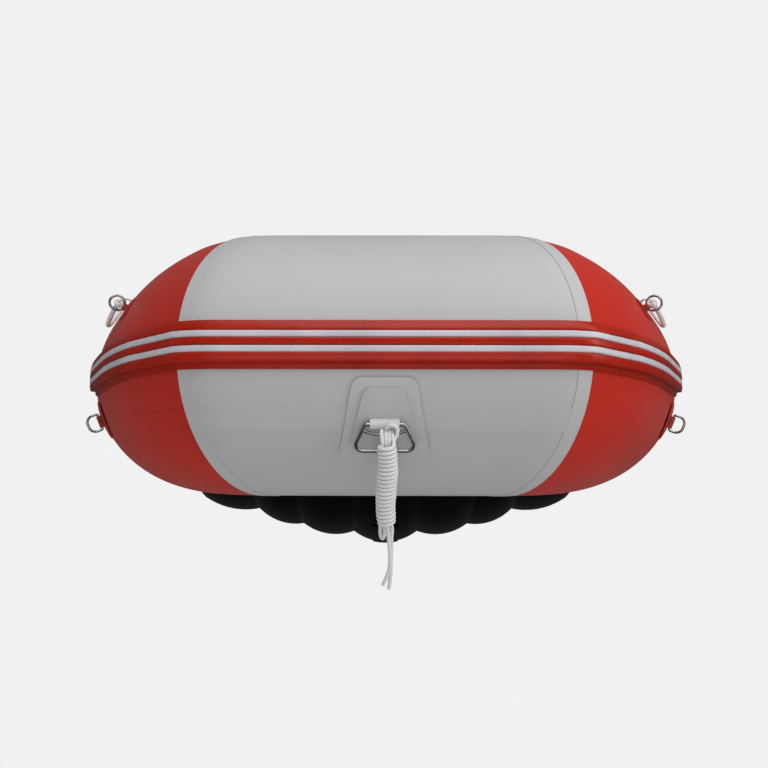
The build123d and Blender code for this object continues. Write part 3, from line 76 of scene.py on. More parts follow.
# %% [markdown]
# ## The line that the tube follows
# The hull is one tube bent round the bow. Its axis is a straight crosspiece, a sharp mitred corner,
# a tight shoulder, a long quarter that brings the tube level, and a straight side. Each stretch is
# an arc or a line, so a few sizes give the whole hull, and every long piece can be swept along it.

# %% The hull's sizes
TUBE = 0.210
FABRIC = 0.001
GAP = 0.0003
TAPE = 0.0007
BOW_HALF = 0.198
CORNER = 47.0
SHOULDER_RADIUS = 0.490
SHOULDER_TURN = 14.0
QUARTER_RADIUS = 1.560
SLOPE = radians(22.5)
LEAN = tan(radians(CORNER / 2))
CONE_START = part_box("starboard_stern_cone")[0].y
CONE_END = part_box("starboard_stern_cone")[1].y
CONE_TIP = 0.095

OUT = Vector((-1, 0, 0))
AFT = Vector((0, cos(SLOPE), -sin(SLOPE)))
BOW_UP = Vector((0, sin(SLOPE), cos(SLOPE)))


def turned(vector, axis, angle):
    """A vector turned about an axis, by degrees."""
    return Matrix.Rotation(radians(angle), 3, axis) @ vector


class Station:
    """A place on the tube's axis, with the directions out of the boat, up round the tube and aft."""

    def __init__(self, origin, out, along, lean=0.0):
        self.origin, self.out, self.along, self.lean = origin, out, along, lean
        self.up = along.cross(out)

    def point(self, across, height):
        """A point of the cross-section. A leaning section lies on the corner's mitre."""
        flat = self.origin + self.out * across + self.up * height
        return flat - self.along * (across * self.lean)

    def mirrored(self):
        """The same place on the port side, travelling the other way."""
        return Station(*[Vector((-v.x, v.y, v.z)) for v in (self.origin, self.out)],
                       Vector((self.along.x, -self.along.y, -self.along.z)), -self.lean)

    def on_tube(self, angle, height=0.0):
        """A point over the tube's surface."""
        reach = TUBE + height
        return self.point(reach * cos(radians(angle)), reach * sin(radians(angle)))


def bent(start, normal, radius, turn):
    """The station after an arc that starts at another station."""
    centre = start.origin + normal.cross(start.along) * radius
    arm = turned(start.origin - centre, normal, turn)
    return Station(centre + arm, turned(start.out, normal, turn), turned(start.along, normal, turn))


def heading(turn):
    """Out and along directions in the bow's sloping plane."""
    along = OUT * cos(radians(turn)) + AFT * sin(radians(turn))
    out = OUT * sin(radians(turn)) - AFT * cos(radians(turn))
    return out, along


corner_out, corner_along = heading(CORNER)
corner = Station(BOW + OUT * BOW_HALF, corner_out, corner_along)
shoulder_end = bent(corner, -BOW_UP, SHOULDER_RADIUS, SHOULDER_TURN)
sternward = Vector((0, 1, 0))
quarter_normal = shoulder_end.along.cross(sternward).normalized()
QUARTER_TURN = degrees(asin(shoulder_end.along.cross(sternward).length))
SHOULDER_LENGTH = radians(SHOULDER_TURN) * SHOULDER_RADIUS
QUARTER_LENGTH = radians(QUARTER_TURN) * QUARTER_RADIUS
quarter_end = bent(shoulder_end, quarter_normal, QUARTER_RADIUS, QUARTER_TURN)
SIDE_LENGTH = CONE_START - quarter_end.origin.y
AXIS = Vector((abs(quarter_end.origin.x), 0, quarter_end.origin.z))
print("side tube axis at", round(AXIS.x, 4), round(AXIS.z, 4))


def station_at(distance):
    """The station at a distance along the axis from the mitred corner, to starboard."""
    if distance < SHOULDER_LENGTH:
        return bent(corner, -BOW_UP, SHOULDER_RADIUS, degrees(distance / SHOULDER_RADIUS))
    if distance < SHOULDER_LENGTH + QUARTER_LENGTH:
        turn = degrees((distance - SHOULDER_LENGTH) / QUARTER_RADIUS)
        return bent(shoulder_end, quarter_normal, QUARTER_RADIUS, turn)
    extra = distance - SHOULDER_LENGTH - QUARTER_LENGTH
    return Station(quarter_end.origin + sternward * extra, quarter_end.out, sternward)


def stations(first, last, step=0.011):
    """Stations from one distance to another. A run from the corner starts on its mitre."""
    count = max(2, round((last - first) / step))
    places = [station_at(first + (last - first) * n / count) for n in range(count + 1)]
    if first == 0:
        places[0] = Station(corner.origin, corner_out, corner_along, lean=LEAN)
    return places


def crosspiece(first=-1.0, last=1.0, count=40):
    """Stations across the bow, from one mitred corner to the other as -1 and 1."""
    out, along = heading(0)
    places = []
    for n in range(count + 1):
        share = first + (last - first) * n / count
        places.append(Station(BOW + along * (share * BOW_HALF), out, along, lean=-share * LEAN))
    return places


# %% [markdown]
# ## Softening the corner
# Two straight-cut tubes would meet in a sharp crease, but air pressure rounds the cloth where it
# bends. Every swept point near the mitre is therefore moved on to a short arc that joins both runs.

# %% Corner softening
SOFT = 0.055
MITRE_NORMAL = (OUT + corner_along).normalized()
ARC = SOFT / LEAN


def softened(point):
    """Round the mitred corner, by moving a point within reach of it towards the boat's inside."""
    flip = 1 if point.x <= 0 else -1
    beyond = (Vector((point.x * flip, point.y, point.z)) - corner.origin).dot(MITRE_NORMAL)
    run, inward = (corner_along, -corner_out) if beyond > 0 else (-OUT, AFT)
    reach = abs(beyond / run.dot(MITRE_NORMAL))
    if reach >= SOFT:
        return point
    turn = radians(CORNER / 2) * (1 - reach / SOFT)
    shift = run * (SOFT - ARC * sin(turn) - reach) + inward * ARC * (1 - cos(turn))
    return point + Vector((shift.x * flip, shift.y, shift.z))


# %% [markdown]
# ## Sweeping a cross-section
# A sweep is a grid: one ring of points for each station, joined by faces. Building it by hand in
# bmesh, rather than with a bevelled curve, keeps each ring on the hull's own section plane, so that
# tapes and strakes lie exactly on the tube, even where they meet on the mitre.

# %% Mesh helpers
def finish_mesh(name, builder, smooth_angle=35):
    """A mesh object at the origin, with its normals outwards and its shading smooth."""
    mesh = bpy.data.meshes.new(name)
    bmesh.ops.recalc_face_normals(builder, faces=builder.faces)
    builder.to_mesh(mesh)
    builder.free()
    mesh.shade_smooth()
    mesh.set_sharp_from_angle(angle=radians(smooth_angle))
    piece = bpy.data.objects.new(name, mesh)
    scene.collection.objects.link(piece)
    return piece


def sweep(name, parts, port=False, smooth_angle=35):
    """Sweep closed loops of (across, height) along stations. Two loops make a hollow wall."""
    builder = bmesh.new()
    for loops, places in parts:
        rings = []
        for loop in loops:
            grid = [[builder.verts.new(softened(s.point(u, v))) for u, v in loop] for s in places]
            for row, after in zip(grid, grid[1:]):
                for i in range(len(loop)):
                    j = (i + 1) % len(loop)
                    builder.faces.new((row[i], row[j], after[j], after[i]))
            rings.append(grid)
        for end in (0, -1):
            if len(rings) == 1:
                builder.faces.new(rings[0][end])
                continue
            outer, inner = rings[0][end], rings[1][end]
            for i in range(len(outer)):
                j = (i + 1) % len(outer)
                builder.faces.new((outer[i], outer[j], inner[j], inner[i]))
    if port:
        for vertex in builder.verts:
            vertex.co.x = -vertex.co.x
    return finish_mesh(name, builder, smooth_angle)


def ring_loop(radius, count=144):
    """A full circle round the tube's axis."""
    turns = [2 * pi * n / count for n in range(count)]
    return [(radius * cos(t), radius * sin(t)) for t in turns]


def wall(outer, inner, count=144):
    return [ring_loop(outer, count), ring_loop(inner, count)]


def band(inner, outer, first, last, count=24):
    """A patch of tape between two angles round the tube."""
    angles = [radians(first + (last - first) * n / count) for n in range(count + 1)]
    top = [(outer * cos(a), outer * sin(a)) for a in angles]
    return [top + [(inner * cos(a), inner * sin(a)) for a in angles[::-1]]]


def rounded(corners, closed=True, steps=5):
    """Round each corner (x, y, radius) of an outline."""
    outline = []
    count = len(corners)
    for n, (x, y, radius) in enumerate(corners):
        here = Vector((x, y))
        ends = not closed and n in (0, count - 1)
        if radius == 0 or ends:
            outline.append((x, y))
            continue
        before = Vector(corners[n - 1][:2]) - here
        after = Vector(corners[(n + 1) % count][:2]) - here
        half = before.angle(after) / 2
        reach = min(radius / tan(half), before.length * 0.49, after.length * 0.49)
        start = here + before.normalized() * reach
        stop = here + after.normalized() * reach
        for step in range(steps + 1):
            t = step / steps
            point = start * (1 - t) ** 2 + here * (2 * t * (1 - t)) + stop * t**2
            outline.append((point.x, point.y))
    return outline


# %% [markdown]
# ## Materials as expressions
# A material is a small calculation on coordinates. Wrapping each socket in a class lets that
# calculation be written as ordinary Python, and every operator adds its Math node.

# %% Socket class
class Socket:
    """An output socket that can be used in expressions."""

    def __init__(self, tree, socket):
        self.tree, self.socket = tree, socket

    def math(self, operation, other=0.0, third=None):
        values = {0: self, 1: other}
        if third is not None:
            values[2] = third
        return self.tree.node("ShaderNodeMath", {"operation": operation}, values)

    def __add__(self, other):
        return self.math("ADD", other)

    def __sub__(self, other):
        return self.math("SUBTRACT", other)

    def __mul__(self, other):
        return self.math("MULTIPLY", other)

    def __rsub__(self, other):
        return self.tree.node("ShaderNodeMath", {"operation": "SUBTRACT"}, {0: other, 1: self})

    __radd__ = __add__
    __rmul__ = __mul__

    def power(self, exponent):
        return self.math("POWER", exponent)

    def between(self, low, high):
        """0 below low, 1 above high, and smooth from one to the other."""
        values = {"Value": self, "From Min": low, "From Max": high}
        settings = {"interpolation_type": "SMOOTHSTEP"}
        return self.tree.node("ShaderNodeMapRange", settings, values)


class NodeBench:
    """Adds nodes to a node tree and joins them up."""

    def __init__(self, node_tree):
        self.nodes, self.links = node_tree.nodes, node_tree.links

    def put(self, target, value):
        if isinstance(value, Socket):
            self.links.new(value.socket, target)
        else:
            target.default_value = value

    def node(self, kind, settings=None, values=None, output=0):
        made = self.nodes.new(kind)
        for key, value in (settings or {}).items():
            setattr(made, key, value)
        for key, value in (values or {}).items():
            self.put(made.inputs[key], value)
        return Socket(self, made.outputs[output])

    def glow(self, backdrop, soft, gloss):
        """A light's strength: what the camera sees, what lights cloth, and what gloss reflects."""
        rays = self.nodes.new("ShaderNodeLightPath")
        seen, diffuse, glossy = [Socket(self, rays.outputs[name]) for name in
                                 ("Is Camera Ray", "Is Diffuse Ray", "Is Glossy Ray")]
        return seen * backdrop + diffuse * soft + glossy * gloss


class Tree(NodeBench):
    """A material's nodes, with a Principled shader at the end."""

    def __init__(self, name, **shader):
        self.material = bpy.data.materials.new(name)
        self.material.use_nodes = True
        super().__init__(self.material.node_tree)
        self.shader = self.nodes["Principled BSDF"]
        for socket, value in shader.items():
            self.shader.inputs[socket.replace("_", " ")].default_value = value
        coordinates = self.nodes.new("ShaderNodeTexCoord")
        self.object = Socket(self, coordinates.outputs["Object"])

    def noise(self, scale, detail=3.0, rough=0.5, vector=None):
        values = {"Vector": vector or self.object, "Scale": scale, "Detail": detail,
                  "Roughness": rough}
        return self.node("ShaderNodeTexNoise", None, values)

    def mix(self, factor, first, second):
        values = {"Factor": factor, "A": first, "B": second}
        made = self.nodes.new("ShaderNodeMix")
        made.data_type = "RGBA"
        for key, value in zip((0, 6, 7), values.values()):
            self.put(made.inputs[key], value)
        return Socket(self, made.outputs[2])

    def axis(self, name):
        return self.node("ShaderNodeSeparateXYZ", None, {0: self.object}, output="XYZ".index(name))

    def bump(self, height, strength, distance):
        values = {"Height": height, "Strength": strength, "Distance": distance}
        self.links.new(self.node("ShaderNodeBump", None, values).socket,
                       self.shader.inputs["Normal"])

    def colour(self, value):
        self.put(self.shader.inputs["Base Color"], value)

    def roughness(self, value):
        self.put(self.shader.inputs["Roughness"], value)


def rgb(red, green, blue):
    """A colour given as screen values from 0 to 255."""
    def linear(value):
        value /= 255
        return value / 12.92 if value < 0.04045 else ((value + 0.055) / 1.055) ** 2.4
    return (linear(red), linear(green), linear(blue), 1.0)


# %% [markdown]
# ## Coated fabric
# The tubes are polyester cloth coated with PVC. From near, the cloth's weave just shows through
# the coating; from afar, the skin is a soft satin, slightly uneven where it has been handled.
# The weave is one diagonal wave with fine noise on the object's own coordinates, kept very shallow.

# %% Coated fabric materials
def coated_fabric(name, base, shade, gloss, shine=0.42, sheen=0.0, weave=0.00012):
    tree = Tree(name, Specular_IOR_Level=shine, Sheen_Weight=sheen, Sheen_Roughness=0.45)
    cloud = tree.noise(3.2, 4.0)
    dust = tree.noise(46.0, 6.0, 0.62)
    tree.colour(tree.mix(cloud.between(0.3, 0.75) * 0.6 + dust * 0.25, base, shade))
    tree.roughness(gloss + dust * 0.1 + cloud * 0.06)
    grain = tree.noise(900.0, 2.0, 0.6)
    threads = tree.node("ShaderNodeTexWave", {"bands_direction": "DIAGONAL"},
                        {"Vector": tree.object, "Scale": 260.0, "Distortion": 0.6})
    tree.bump(grain * 0.7 + threads * 0.3 + tree.noise(7.0, 2.0) * 4.0, 0.35, weave)
    return tree.material


GREY = coated_fabric("grey_coated_fabric", rgb(180, 180, 181), rgb(172, 172, 174), 0.44)
GREY_TAPE = coated_fabric("grey_seam_tape", rgb(181, 181, 182), rgb(174, 174, 176), 0.42)
STRAP = coated_fabric("pale_strap", rgb(196, 196, 198), rgb(188, 188, 190), 0.36)
RED = coated_fabric("red_coated_fabric", rgb(188, 30, 5), rgb(176, 26, 4), 0.38,
                    shine=0.16, sheen=0.07)
BLACK = coated_fabric("black_floor_fabric", rgb(5, 5, 6), rgb(3, 3, 4), 0.22, shine=0.16)

# %% [markdown]
# ## Extruded strake, metal, plastic, timber and rope
# Each other finish is a variation on the same idea: a base colour, a little unevenness, and a bump
# at the scale of the real surface.

# %% Other materials
def moulded(name, base, gloss, grain_scale=600.0, depth=0.00006, metallic=0.0, shine=0.5):
    tree = Tree(name, Metallic=metallic, Specular_IOR_Level=shine)
    patches = tree.noise(14.0, 3.0)
    darker = tuple(c * 0.86 for c in base[:3]) + (1.0,)
    tree.colour(tree.mix(patches.between(0.35, 0.7), base, darker))
    tree.roughness(gloss + tree.noise(60.0, 4.0) * 0.12)
    tree.bump(tree.noise(grain_scale, 3.0), 0.3, depth)
    return tree.material


STRAKE_RED = moulded("red_extrusion", rgb(166, 27, 3), 0.22, 300.0, 0.00002, shine=0.26)
STRIPE_GREY = moulded("grey_extrusion", rgb(196, 194, 200), 0.34)
MOULDED_GREY = moulded("grey_moulding", rgb(180, 180, 182), 0.40)
PLASTIC = moulded("black_nylon", rgb(30, 30, 32), 0.46, 900.0, 0.0001)
STEEL = moulded("polished_steel", (0.42, 0.42, 0.41, 1.0), 0.10, 120.0, 0.00002, metallic=1.0)
ALLOY = moulded("satin_alloy", (0.72, 0.73, 0.74, 1.0), 0.30, 400.0, 0.00002, metallic=1.0)


def painted_plywood():
    """Grey painted plywood, whose bare plies show on its edges as thin darker lines."""
    tree = Tree("painted_plywood", Coat_Weight=0.2, Coat_Roughness=0.25)
    stretched = tree.node("ShaderNodeMapping", None, {0: tree.object, 3: (1.2, 14.0, 14.0)})
    grain = tree.noise(7.0, 6.0, 0.6, vector=stretched)
    tree.colour(tree.mix(grain.between(0.35, 0.7), rgb(150, 152, 152), rgb(132, 134, 135)))
    tree.roughness(grain * 0.2 + 0.34)
    tree.bump(grain, 0.3, 0.0002)
    return tree.material


def cloth_webbing(name, base, dark):
    """Woven webbing: fine ribs across it."""
    tree = Tree(name, Sheen_Weight=0.3, Sheen_Roughness=0.5)
    ribs = tree.node("ShaderNodeTexWave", {"bands_direction": "X"},
                     {"Vector": tree.object, "Scale": 220.0, "Distortion": 0.4})
    tree.colour(tree.mix(ribs.between(0.2, 0.9), dark, base))
    tree.roughness(ribs * 0.1 + 0.62)
    tree.bump(ribs + tree.noise(700.0) * 0.4, 0.5, 0.0003)
    return tree.material


def braided_rope():
    """White polyester. The braid is in the rope's mesh, which also says where its grooves are, and the grooves are
    darkened with painted shade.
    """
    tree = Tree("braided_rope", Sheen_Weight=0.35, Sheen_Roughness=0.4,
                Subsurface_Weight=0.08, Subsurface_Scale=0.004)
    fibres = tree.noise(1400.0, 2.0, 0.7)
    painted_groove_shade = tree.node("ShaderNodeAttribute", {"attribute_name": "painted_groove_shade"}, output=2)
    yarn = tree.mix(fibres.between(0.3, 0.75), rgb(222, 222, 222), rgb(236, 236, 236))
    # Painted shade: the white yarn is darkened towards grey in the braid's grooves.
    tree.colour(tree.mix(painted_groove_shade.between(0.0, 1.0) * 0.4, yarn, rgb(150, 150, 152)))
    tree.roughness(fibres * 0.1 + 0.66)
    tree.bump(fibres, 0.4, 0.00015)
    return tree.material


PLYWOOD = painted_plywood()
RED_WEBBING = cloth_webbing("red_webbing", rgb(160, 40, 28), rgb(110, 24, 16))
ROPE = braided_rope()


def dress(piece, material, body="hull", replaced=()):
    """Give a piece its material, its body and the nodes it stands for."""
    piece.data.materials.clear()
    piece.data.materials.append(material)
    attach(piece, body)
    if replaced:
        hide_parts(*replaced)
    return piece


# %% [markdown]
# ## Air chambers
# The bow tube is grey, the two bow quarters are red. Each is a hollow wall of fabric, swept along
# its own stretch of the axis and cut on the same mitre as its neighbour.

# %% Tubes
SIDES = (("starboard", False), ("port", True))
FULL = SHOULDER_LENGTH + QUARTER_LENGTH
skin = wall(TUBE, TUBE - FABRIC)
dress(sweep("bow_tube_skin", [(skin, crosspiece())]), GREY, replaced=["bow_tube"])
for side, is_port in SIDES:
    bow_part = sweep(f"{side}_bow_skin", [(skin, stations(0, FULL))], is_port)
    dress(bow_part, RED, replaced=[f"{side}_bow_tube"])
    side_part = sweep(f"{side}_side_skin", [(skin, stations(FULL, FULL + SIDE_LENGTH, 0.1))], is_port)
    dress(side_part, GREY, replaced=[f"{side}_side_tube"])


def cone_skin(name, is_port):
    """The stern cone: a wall that narrows to the cap."""
    builder = bmesh.new()
    rows = 12
    grids = []
    for thickness in (0.0, FABRIC):
        grid = []
        for row in range(rows + 1):
            share = row / rows
            radius = TUBE + (CONE_TIP - TUBE) * share - thickness
            place = Station(Vector((-AXIS.x, CONE_START + (CONE_END - CONE_START) * share, AXIS.z)),
                            quarter_end.out, sternward)
            grid.append([builder.verts.new(place.point(u, v)) for u, v in ring_loop(radius)])
        for row, after in zip(grid, grid[1:]):
            for i in range(len(row)):
                j = (i + 1) % len(row)
                builder.faces.new((row[i], row[j], after[j], after[i]))
        grids.append(grid)
    for end in (0, -1):
        outer, inner = grids[0][end], grids[1][end]
        for i in range(len(outer)):
            j = (i + 1) % len(outer)
            builder.faces.new((outer[i], outer[j], inner[j], inner[i]))
    if is_port:
        for vertex in builder.verts:
            vertex.co.x = -vertex.co.x
    return finish_mesh(name, builder)


for side, is_port in SIDES:
    dress(cone_skin(f"{side}_cone_skin", is_port), RED,
          replaced=[f"{side}_stern_cone"])

# %% [markdown]
# ## Seam tapes
# Every joint between two sheets of fabric is covered by a narrow tape. Its edge is under a
# millimetre high, but it catches the light, so the tapes are real strips and not painted lines.

# %% Seam tapes
tape_wall = wall(TUBE + TAPE, TUBE - GAP)
BOW_TAPE = 0.021
SEAM_TURN = 7.0
SEAM_HALF = 0.020
lap = band(TUBE - GAP, TUBE + 0.8 * TAPE, -34.3, -24.7)
tape_share = 1 - BOW_TAPE / (BOW_HALF * cos(radians(CORNER / 2)))
mitre_tapes = []
for sign in (1, -1):
    out, along = heading(0)
    edge = BOW_TAPE / cos(radians(CORNER / 2))
    inner_edge = Station(BOW + along * (sign * (BOW_HALF - edge)), out, along, lean=-sign * LEAN)
    mitre = Station(BOW + along * (sign * BOW_HALF), out, along, lean=-sign * LEAN)
    mitre_tapes.append((tape_wall, [inner_edge, mitre]))
dress(sweep("bow_ring_tapes", mitre_tapes), GREY_TAPE, replaced=["bow_seam_tapes"])
dress(sweep("bow_lap_strip", [(lap, crosspiece())]), GREY_TAPE,
      replaced=["bow_lap_tape"])

seam_at = radians(SEAM_TURN) * SHOULDER_RADIUS
partial = band(TUBE - GAP, TUBE + 0.2 * TAPE, -88, 88, 90)
for side, is_port in SIDES:
    strips = [(partial, stations(seam_at - SEAM_HALF, seam_at + SEAM_HALF, 0.004)),
              (tape_wall, stations(FULL - SEAM_HALF, FULL + SEAM_HALF, 0.01)),
              (tape_wall, stations(FULL + SIDE_LENGTH - 2 * SEAM_HALF, FULL + SIDE_LENGTH, 0.01))]
    nodes = ["side_seam_tapes"] if is_port else []
    dress(sweep(f"{side}_ring_tapes", strips, is_port), RED, replaced=nodes)
    nodes = ["side_lap_tapes"] if is_port else []
    strip = sweep(f"{side}_lap_strip", [(lap, stations(0, FULL))], is_port)
    dress(strip, RED, replaced=nodes)
    strip = sweep(f"{side}_aft_lap_strip", [(lap, stations(FULL, FULL + SIDE_LENGTH, 0.1))], is_port)
    dress(strip, GREY_TAPE)

# %% [markdown]
# ## Rub strake
# A thick extrusion guards the widest part of the tube: two outer ribs and a middle rib, with a grey
# stripe pressed into each groove. Its corners are rounded, which gives the long thin highlights.

# %% Rub strake
STRAKE_SEAT = TUBE + TAPE


def wrapped(profile):
    """A flat profile of (along, height), in millimetres, wrapped round the tube."""
    points = []
    for along, height in profile:
        angle, reach = along * MM / TUBE, STRAKE_SEAT + height * MM
        points.append((reach * cos(angle), reach * sin(angle)))
    return points


upper_half = [(5.2, 11.5, 5), (5.2, 6, 0.4), (14.4, 6, 0.4), (14.4, 11.5, 5), (26, 9.5, 8),
              (26, 2.4, 2.2), (31, 1.4, 1.2), (31, -0.6, 0)]
lower_half = [(-36.5, -0.6, 0), (-36.5, 1.8, 1.4), (-27.5, 2.6, 2.4), (-27.5, 11, 8),
              (-14.4, 12, 5), (-14.4, 6, 0.4), (-5.2, 6, 0.4), (-5.2, 11.5, 5)]
underside = [(31 - 67.5 * n / 16, -0.6, 0) for n in range(1, 16)]
strake_loop = [wrapped(rounded(upper_half + underside + lower_half))]


def stripe_loop(sign):
    corners = [(5.3, 5.8, 0.3), (14.3, 5.8, 0.3), (14.3, 11.6, 4), (5.3, 11.6, 4)]
    return [wrapped(rounded([(sign * a, h, r) for a, h, r in corners]))]


starboard_run = stations(0, FULL) + stations(FULL, FULL + SIDE_LENGTH, 0.1)[1:]
whole_run = [s.mirrored() for s in starboard_run[::-1]] + crosspiece()[1:-1] + starboard_run


def hull_run(name, loops, material, node):
    """One long piece all round the hull, from the port stern to the starboard stern."""
    dress(sweep(name, [(loops, whole_run)]), material, replaced=[node])


hull_run("strake_ribs", strake_loop, STRAKE_RED, "rub_strake")
hull_run("stripe_above", stripe_loop(1), STRIPE_GREY, "upper_stripe")
hull_run("stripe_below", stripe_loop(-1), STRIPE_GREY, "lower_stripe")

# %% [markdown]
# ## The V floor
# The floor is an air mattress: two skins tied by upright webs, so that each skin bulges into lobes
# between the seams. The lobes are arcs over the seams' places; the whole section is carried forward
# and up round the nose, and each line of points stops where it meets the tubes.

# %% Floor skins
CUSPS = ((0.062, 0.021), (0.161, 0.036), (0.249, 0.066), (0.372, 0.100))
BASE = 0.0023
KEEL_SAG = 0.021
FLOOR_TOP = 0.108
NOSE_RADIUS = 0.350
NOSE_TURN = 78.0
NOSE_START = BOW.y + 0.305
FLOOR_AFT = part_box("floor_bottom_skin")[1].y


def lobe_line(seams, bulge, share, per_lobe=14):
    """The section's line from side to side, one arc between each two seams."""
    line = []
    for number, (first, last) in enumerate(zip(seams, seams[1:])):
        chord = last - first
        keel = bulge < 0 and number == len(seams) // 2 - 1
        sag = KEEL_SAG if keel else chord.length * share
        radius = ((chord.length / 2) ** 2 + sag**2) / (2 * sag)
        normal = Vector((-chord.y, chord.x)).normalized() * bulge
        half = asin(chord.length / 2 / radius)
        centre = (first + last) / 2 - normal * (radius - sag)
        for step in range(per_lobe):
            angle = -half + 2 * half * step / per_lobe
            line.append(centre + normal * radius * cos(angle) + chord.normalized() * radius * sin(angle))
    line.append(seams[-1])
    return line


starboard_axis = [s.origin for s in stations(0, FULL + SIDE_LENGTH, 0.02)]
axis_points = [BOW + OUT * (BOW_HALF * n / 6) for n in range(6)] + starboard_axis
axis_points = np.array([tuple(p) for p in axis_points])


def outside_tubes(points):
    """Which points lie outside the hull's tube, working on one half by symmetry."""
    mirrored = points.copy()
    mirrored[:, 0] = -np.abs(mirrored[:, 0])
    starts, ends = axis_points[:-1], axis_points[1:]
    run = ends - starts
    share = np.einsum("ijk,jk->ij", mirrored[:, None, :] - starts, run) / (run**2).sum(1)
    nearest = starts + np.clip(share, 0, 1)[:, :, None] * run
    return np.linalg.norm(mirrored[:, None, :] - nearest, axis=2).min(1) > TUBE - 0.0015


def floor_skin(name, seams, bulge, share):
    line = lobe_line(seams, bulge, share)
    fine = 900
    straight = FLOOR_AFT - NOSE_START
    total = straight + NOSE_RADIUS * radians(NOSE_TURN)
    travel = np.linspace(0, total, fine)
    turn = np.clip((travel - straight) / NOSE_RADIUS, 0, None)
    columns = []
    for point in line:
        arm = NOSE_RADIUS - point.y
        y = FLOOR_AFT - np.minimum(travel, straight) - arm * np.sin(turn)
        z = NOSE_RADIUS - arm * np.cos(turn)
        path = np.stack([np.full(fine, point.x), y, z], 1)
        clear = outside_tubes(path)
        last = fine - 1 if clear.all() else int(np.argmin(clear)) - 1
        columns.append((path, last))
    rows = sorted(set(list(range(0, fine, 24)) + list(range(int(fine * straight / total), fine, 5))))
    builder = bmesh.new()
    kept = [(path, last) for path, last in columns if last > 2]
    grid = [[builder.verts.new(path[min(row, last)]) for path, last in kept] for row in rows + [fine - 1]]
    for row, after in zip(grid, grid[1:]):
        for i in range(len(row) - 1):
            builder.faces.new((row[i], row[i + 1], after[i + 1], after[i]))
    bmesh.ops.remove_doubles(builder, verts=builder.verts, dist=0.00002)
    bmesh.ops.recalc_face_normals(builder, faces=builder.faces)
    middle = min(builder.faces, key=lambda f: abs(f.calc_center_median().x))
    if middle.normal.z * bulge < 0:
        bmesh.ops.reverse_faces(builder, faces=builder.faces)
    mesh = bpy.data.meshes.new(name)
    builder.to_mesh(mesh)
    builder.free()
    mesh.shade_smooth()
    mesh.set_sharp_from_angle(angle=radians(30))
    piece = bpy.data.objects.new(name, mesh)
    scene.collection.objects.link(piece)
    thick = piece.modifiers.new("fabric", "SOLIDIFY")
    thick.thickness = FABRIC
    thick.offset = -1.0
    print(name, "columns", len(kept), "of", len(line))
    return piece


half_seams = [Vector((x, z + BASE)) for x, z in CUSPS]
low_seams = [Vector((-p.x, p.y)) for p in half_seams[::-1]] + half_seams
high_seams = [Vector((p.x, FLOOR_TOP)) for p in low_seams]
dress(floor_skin("floor_lower_skin", low_seams, -1, 0.13), BLACK,
      replaced=["floor_bottom_skin"])
dress(floor_skin("floor_upper_skin", high_seams, 1, 0.065), BLACK,
      replaced=["floor_top_skin"])

# %% [markdown]
# ## The painter
# A thin braided rope is hitched to the tow ring's inner bar, folded, and wound round itself into a
# hank, with its two ends left hanging. A rope is a curve first: the turns come from a loop, and the
# ends from a few points. The braid is then raised in the mesh that follows that curve.

# %% Rope helpers
ROPE_RADIUS = 0.00275
STEP = 0.26
strap_low, strap_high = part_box("tow_strap")
ring_low, ring_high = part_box("tow_ring")
HINGE = Vector((0, (ring_low.y + ring_high.y) / 2, ring_high.z - 0.0026))


def below(x, ahead, down):
    """A point given in millimetres from the tow ring's hinge."""
    return HINGE + Vector((x, -ahead, -down)) * MM


def smooth_line(name, points):
    """The points of a NURBS spline through the route, as a plain list."""
    curve = bpy.data.curves.new(name, "CURVE")
    curve.dimensions = "3D"
    spline = curve.splines.new("NURBS")
    spline.points.add(len(points) - 1)
    for place, point in zip(spline.points, points):
        place.co = (*point, 1.0)
    spline.order_u = 3
    spline.use_endpoint_u = True
    spline.resolution_u = 6
    holder = bpy.data.objects.new(name, curve)
    mesh = bpy.data.meshes.new_from_object(holder)
    line = [vertex.co.copy() for vertex in mesh.vertices]
    bpy.data.objects.remove(holder)
    bpy.data.curves.remove(curve)
    bpy.data.meshes.remove(mesh)
    return line


def evenly(line, spacing):
    """The same line with evenly spaced points."""
    array = np.array([tuple(p) for p in line])
    steps = np.linalg.norm(np.diff(array, axis=0), axis=1)
    travel = np.concatenate([[0], np.cumsum(steps)])
    wanted = np.linspace(0, travel[-1], max(3, round(travel[-1] / spacing) + 1))
    return np.stack([np.interp(wanted, travel, array[:, k]) for k in range(3)], 1), travel[-1]


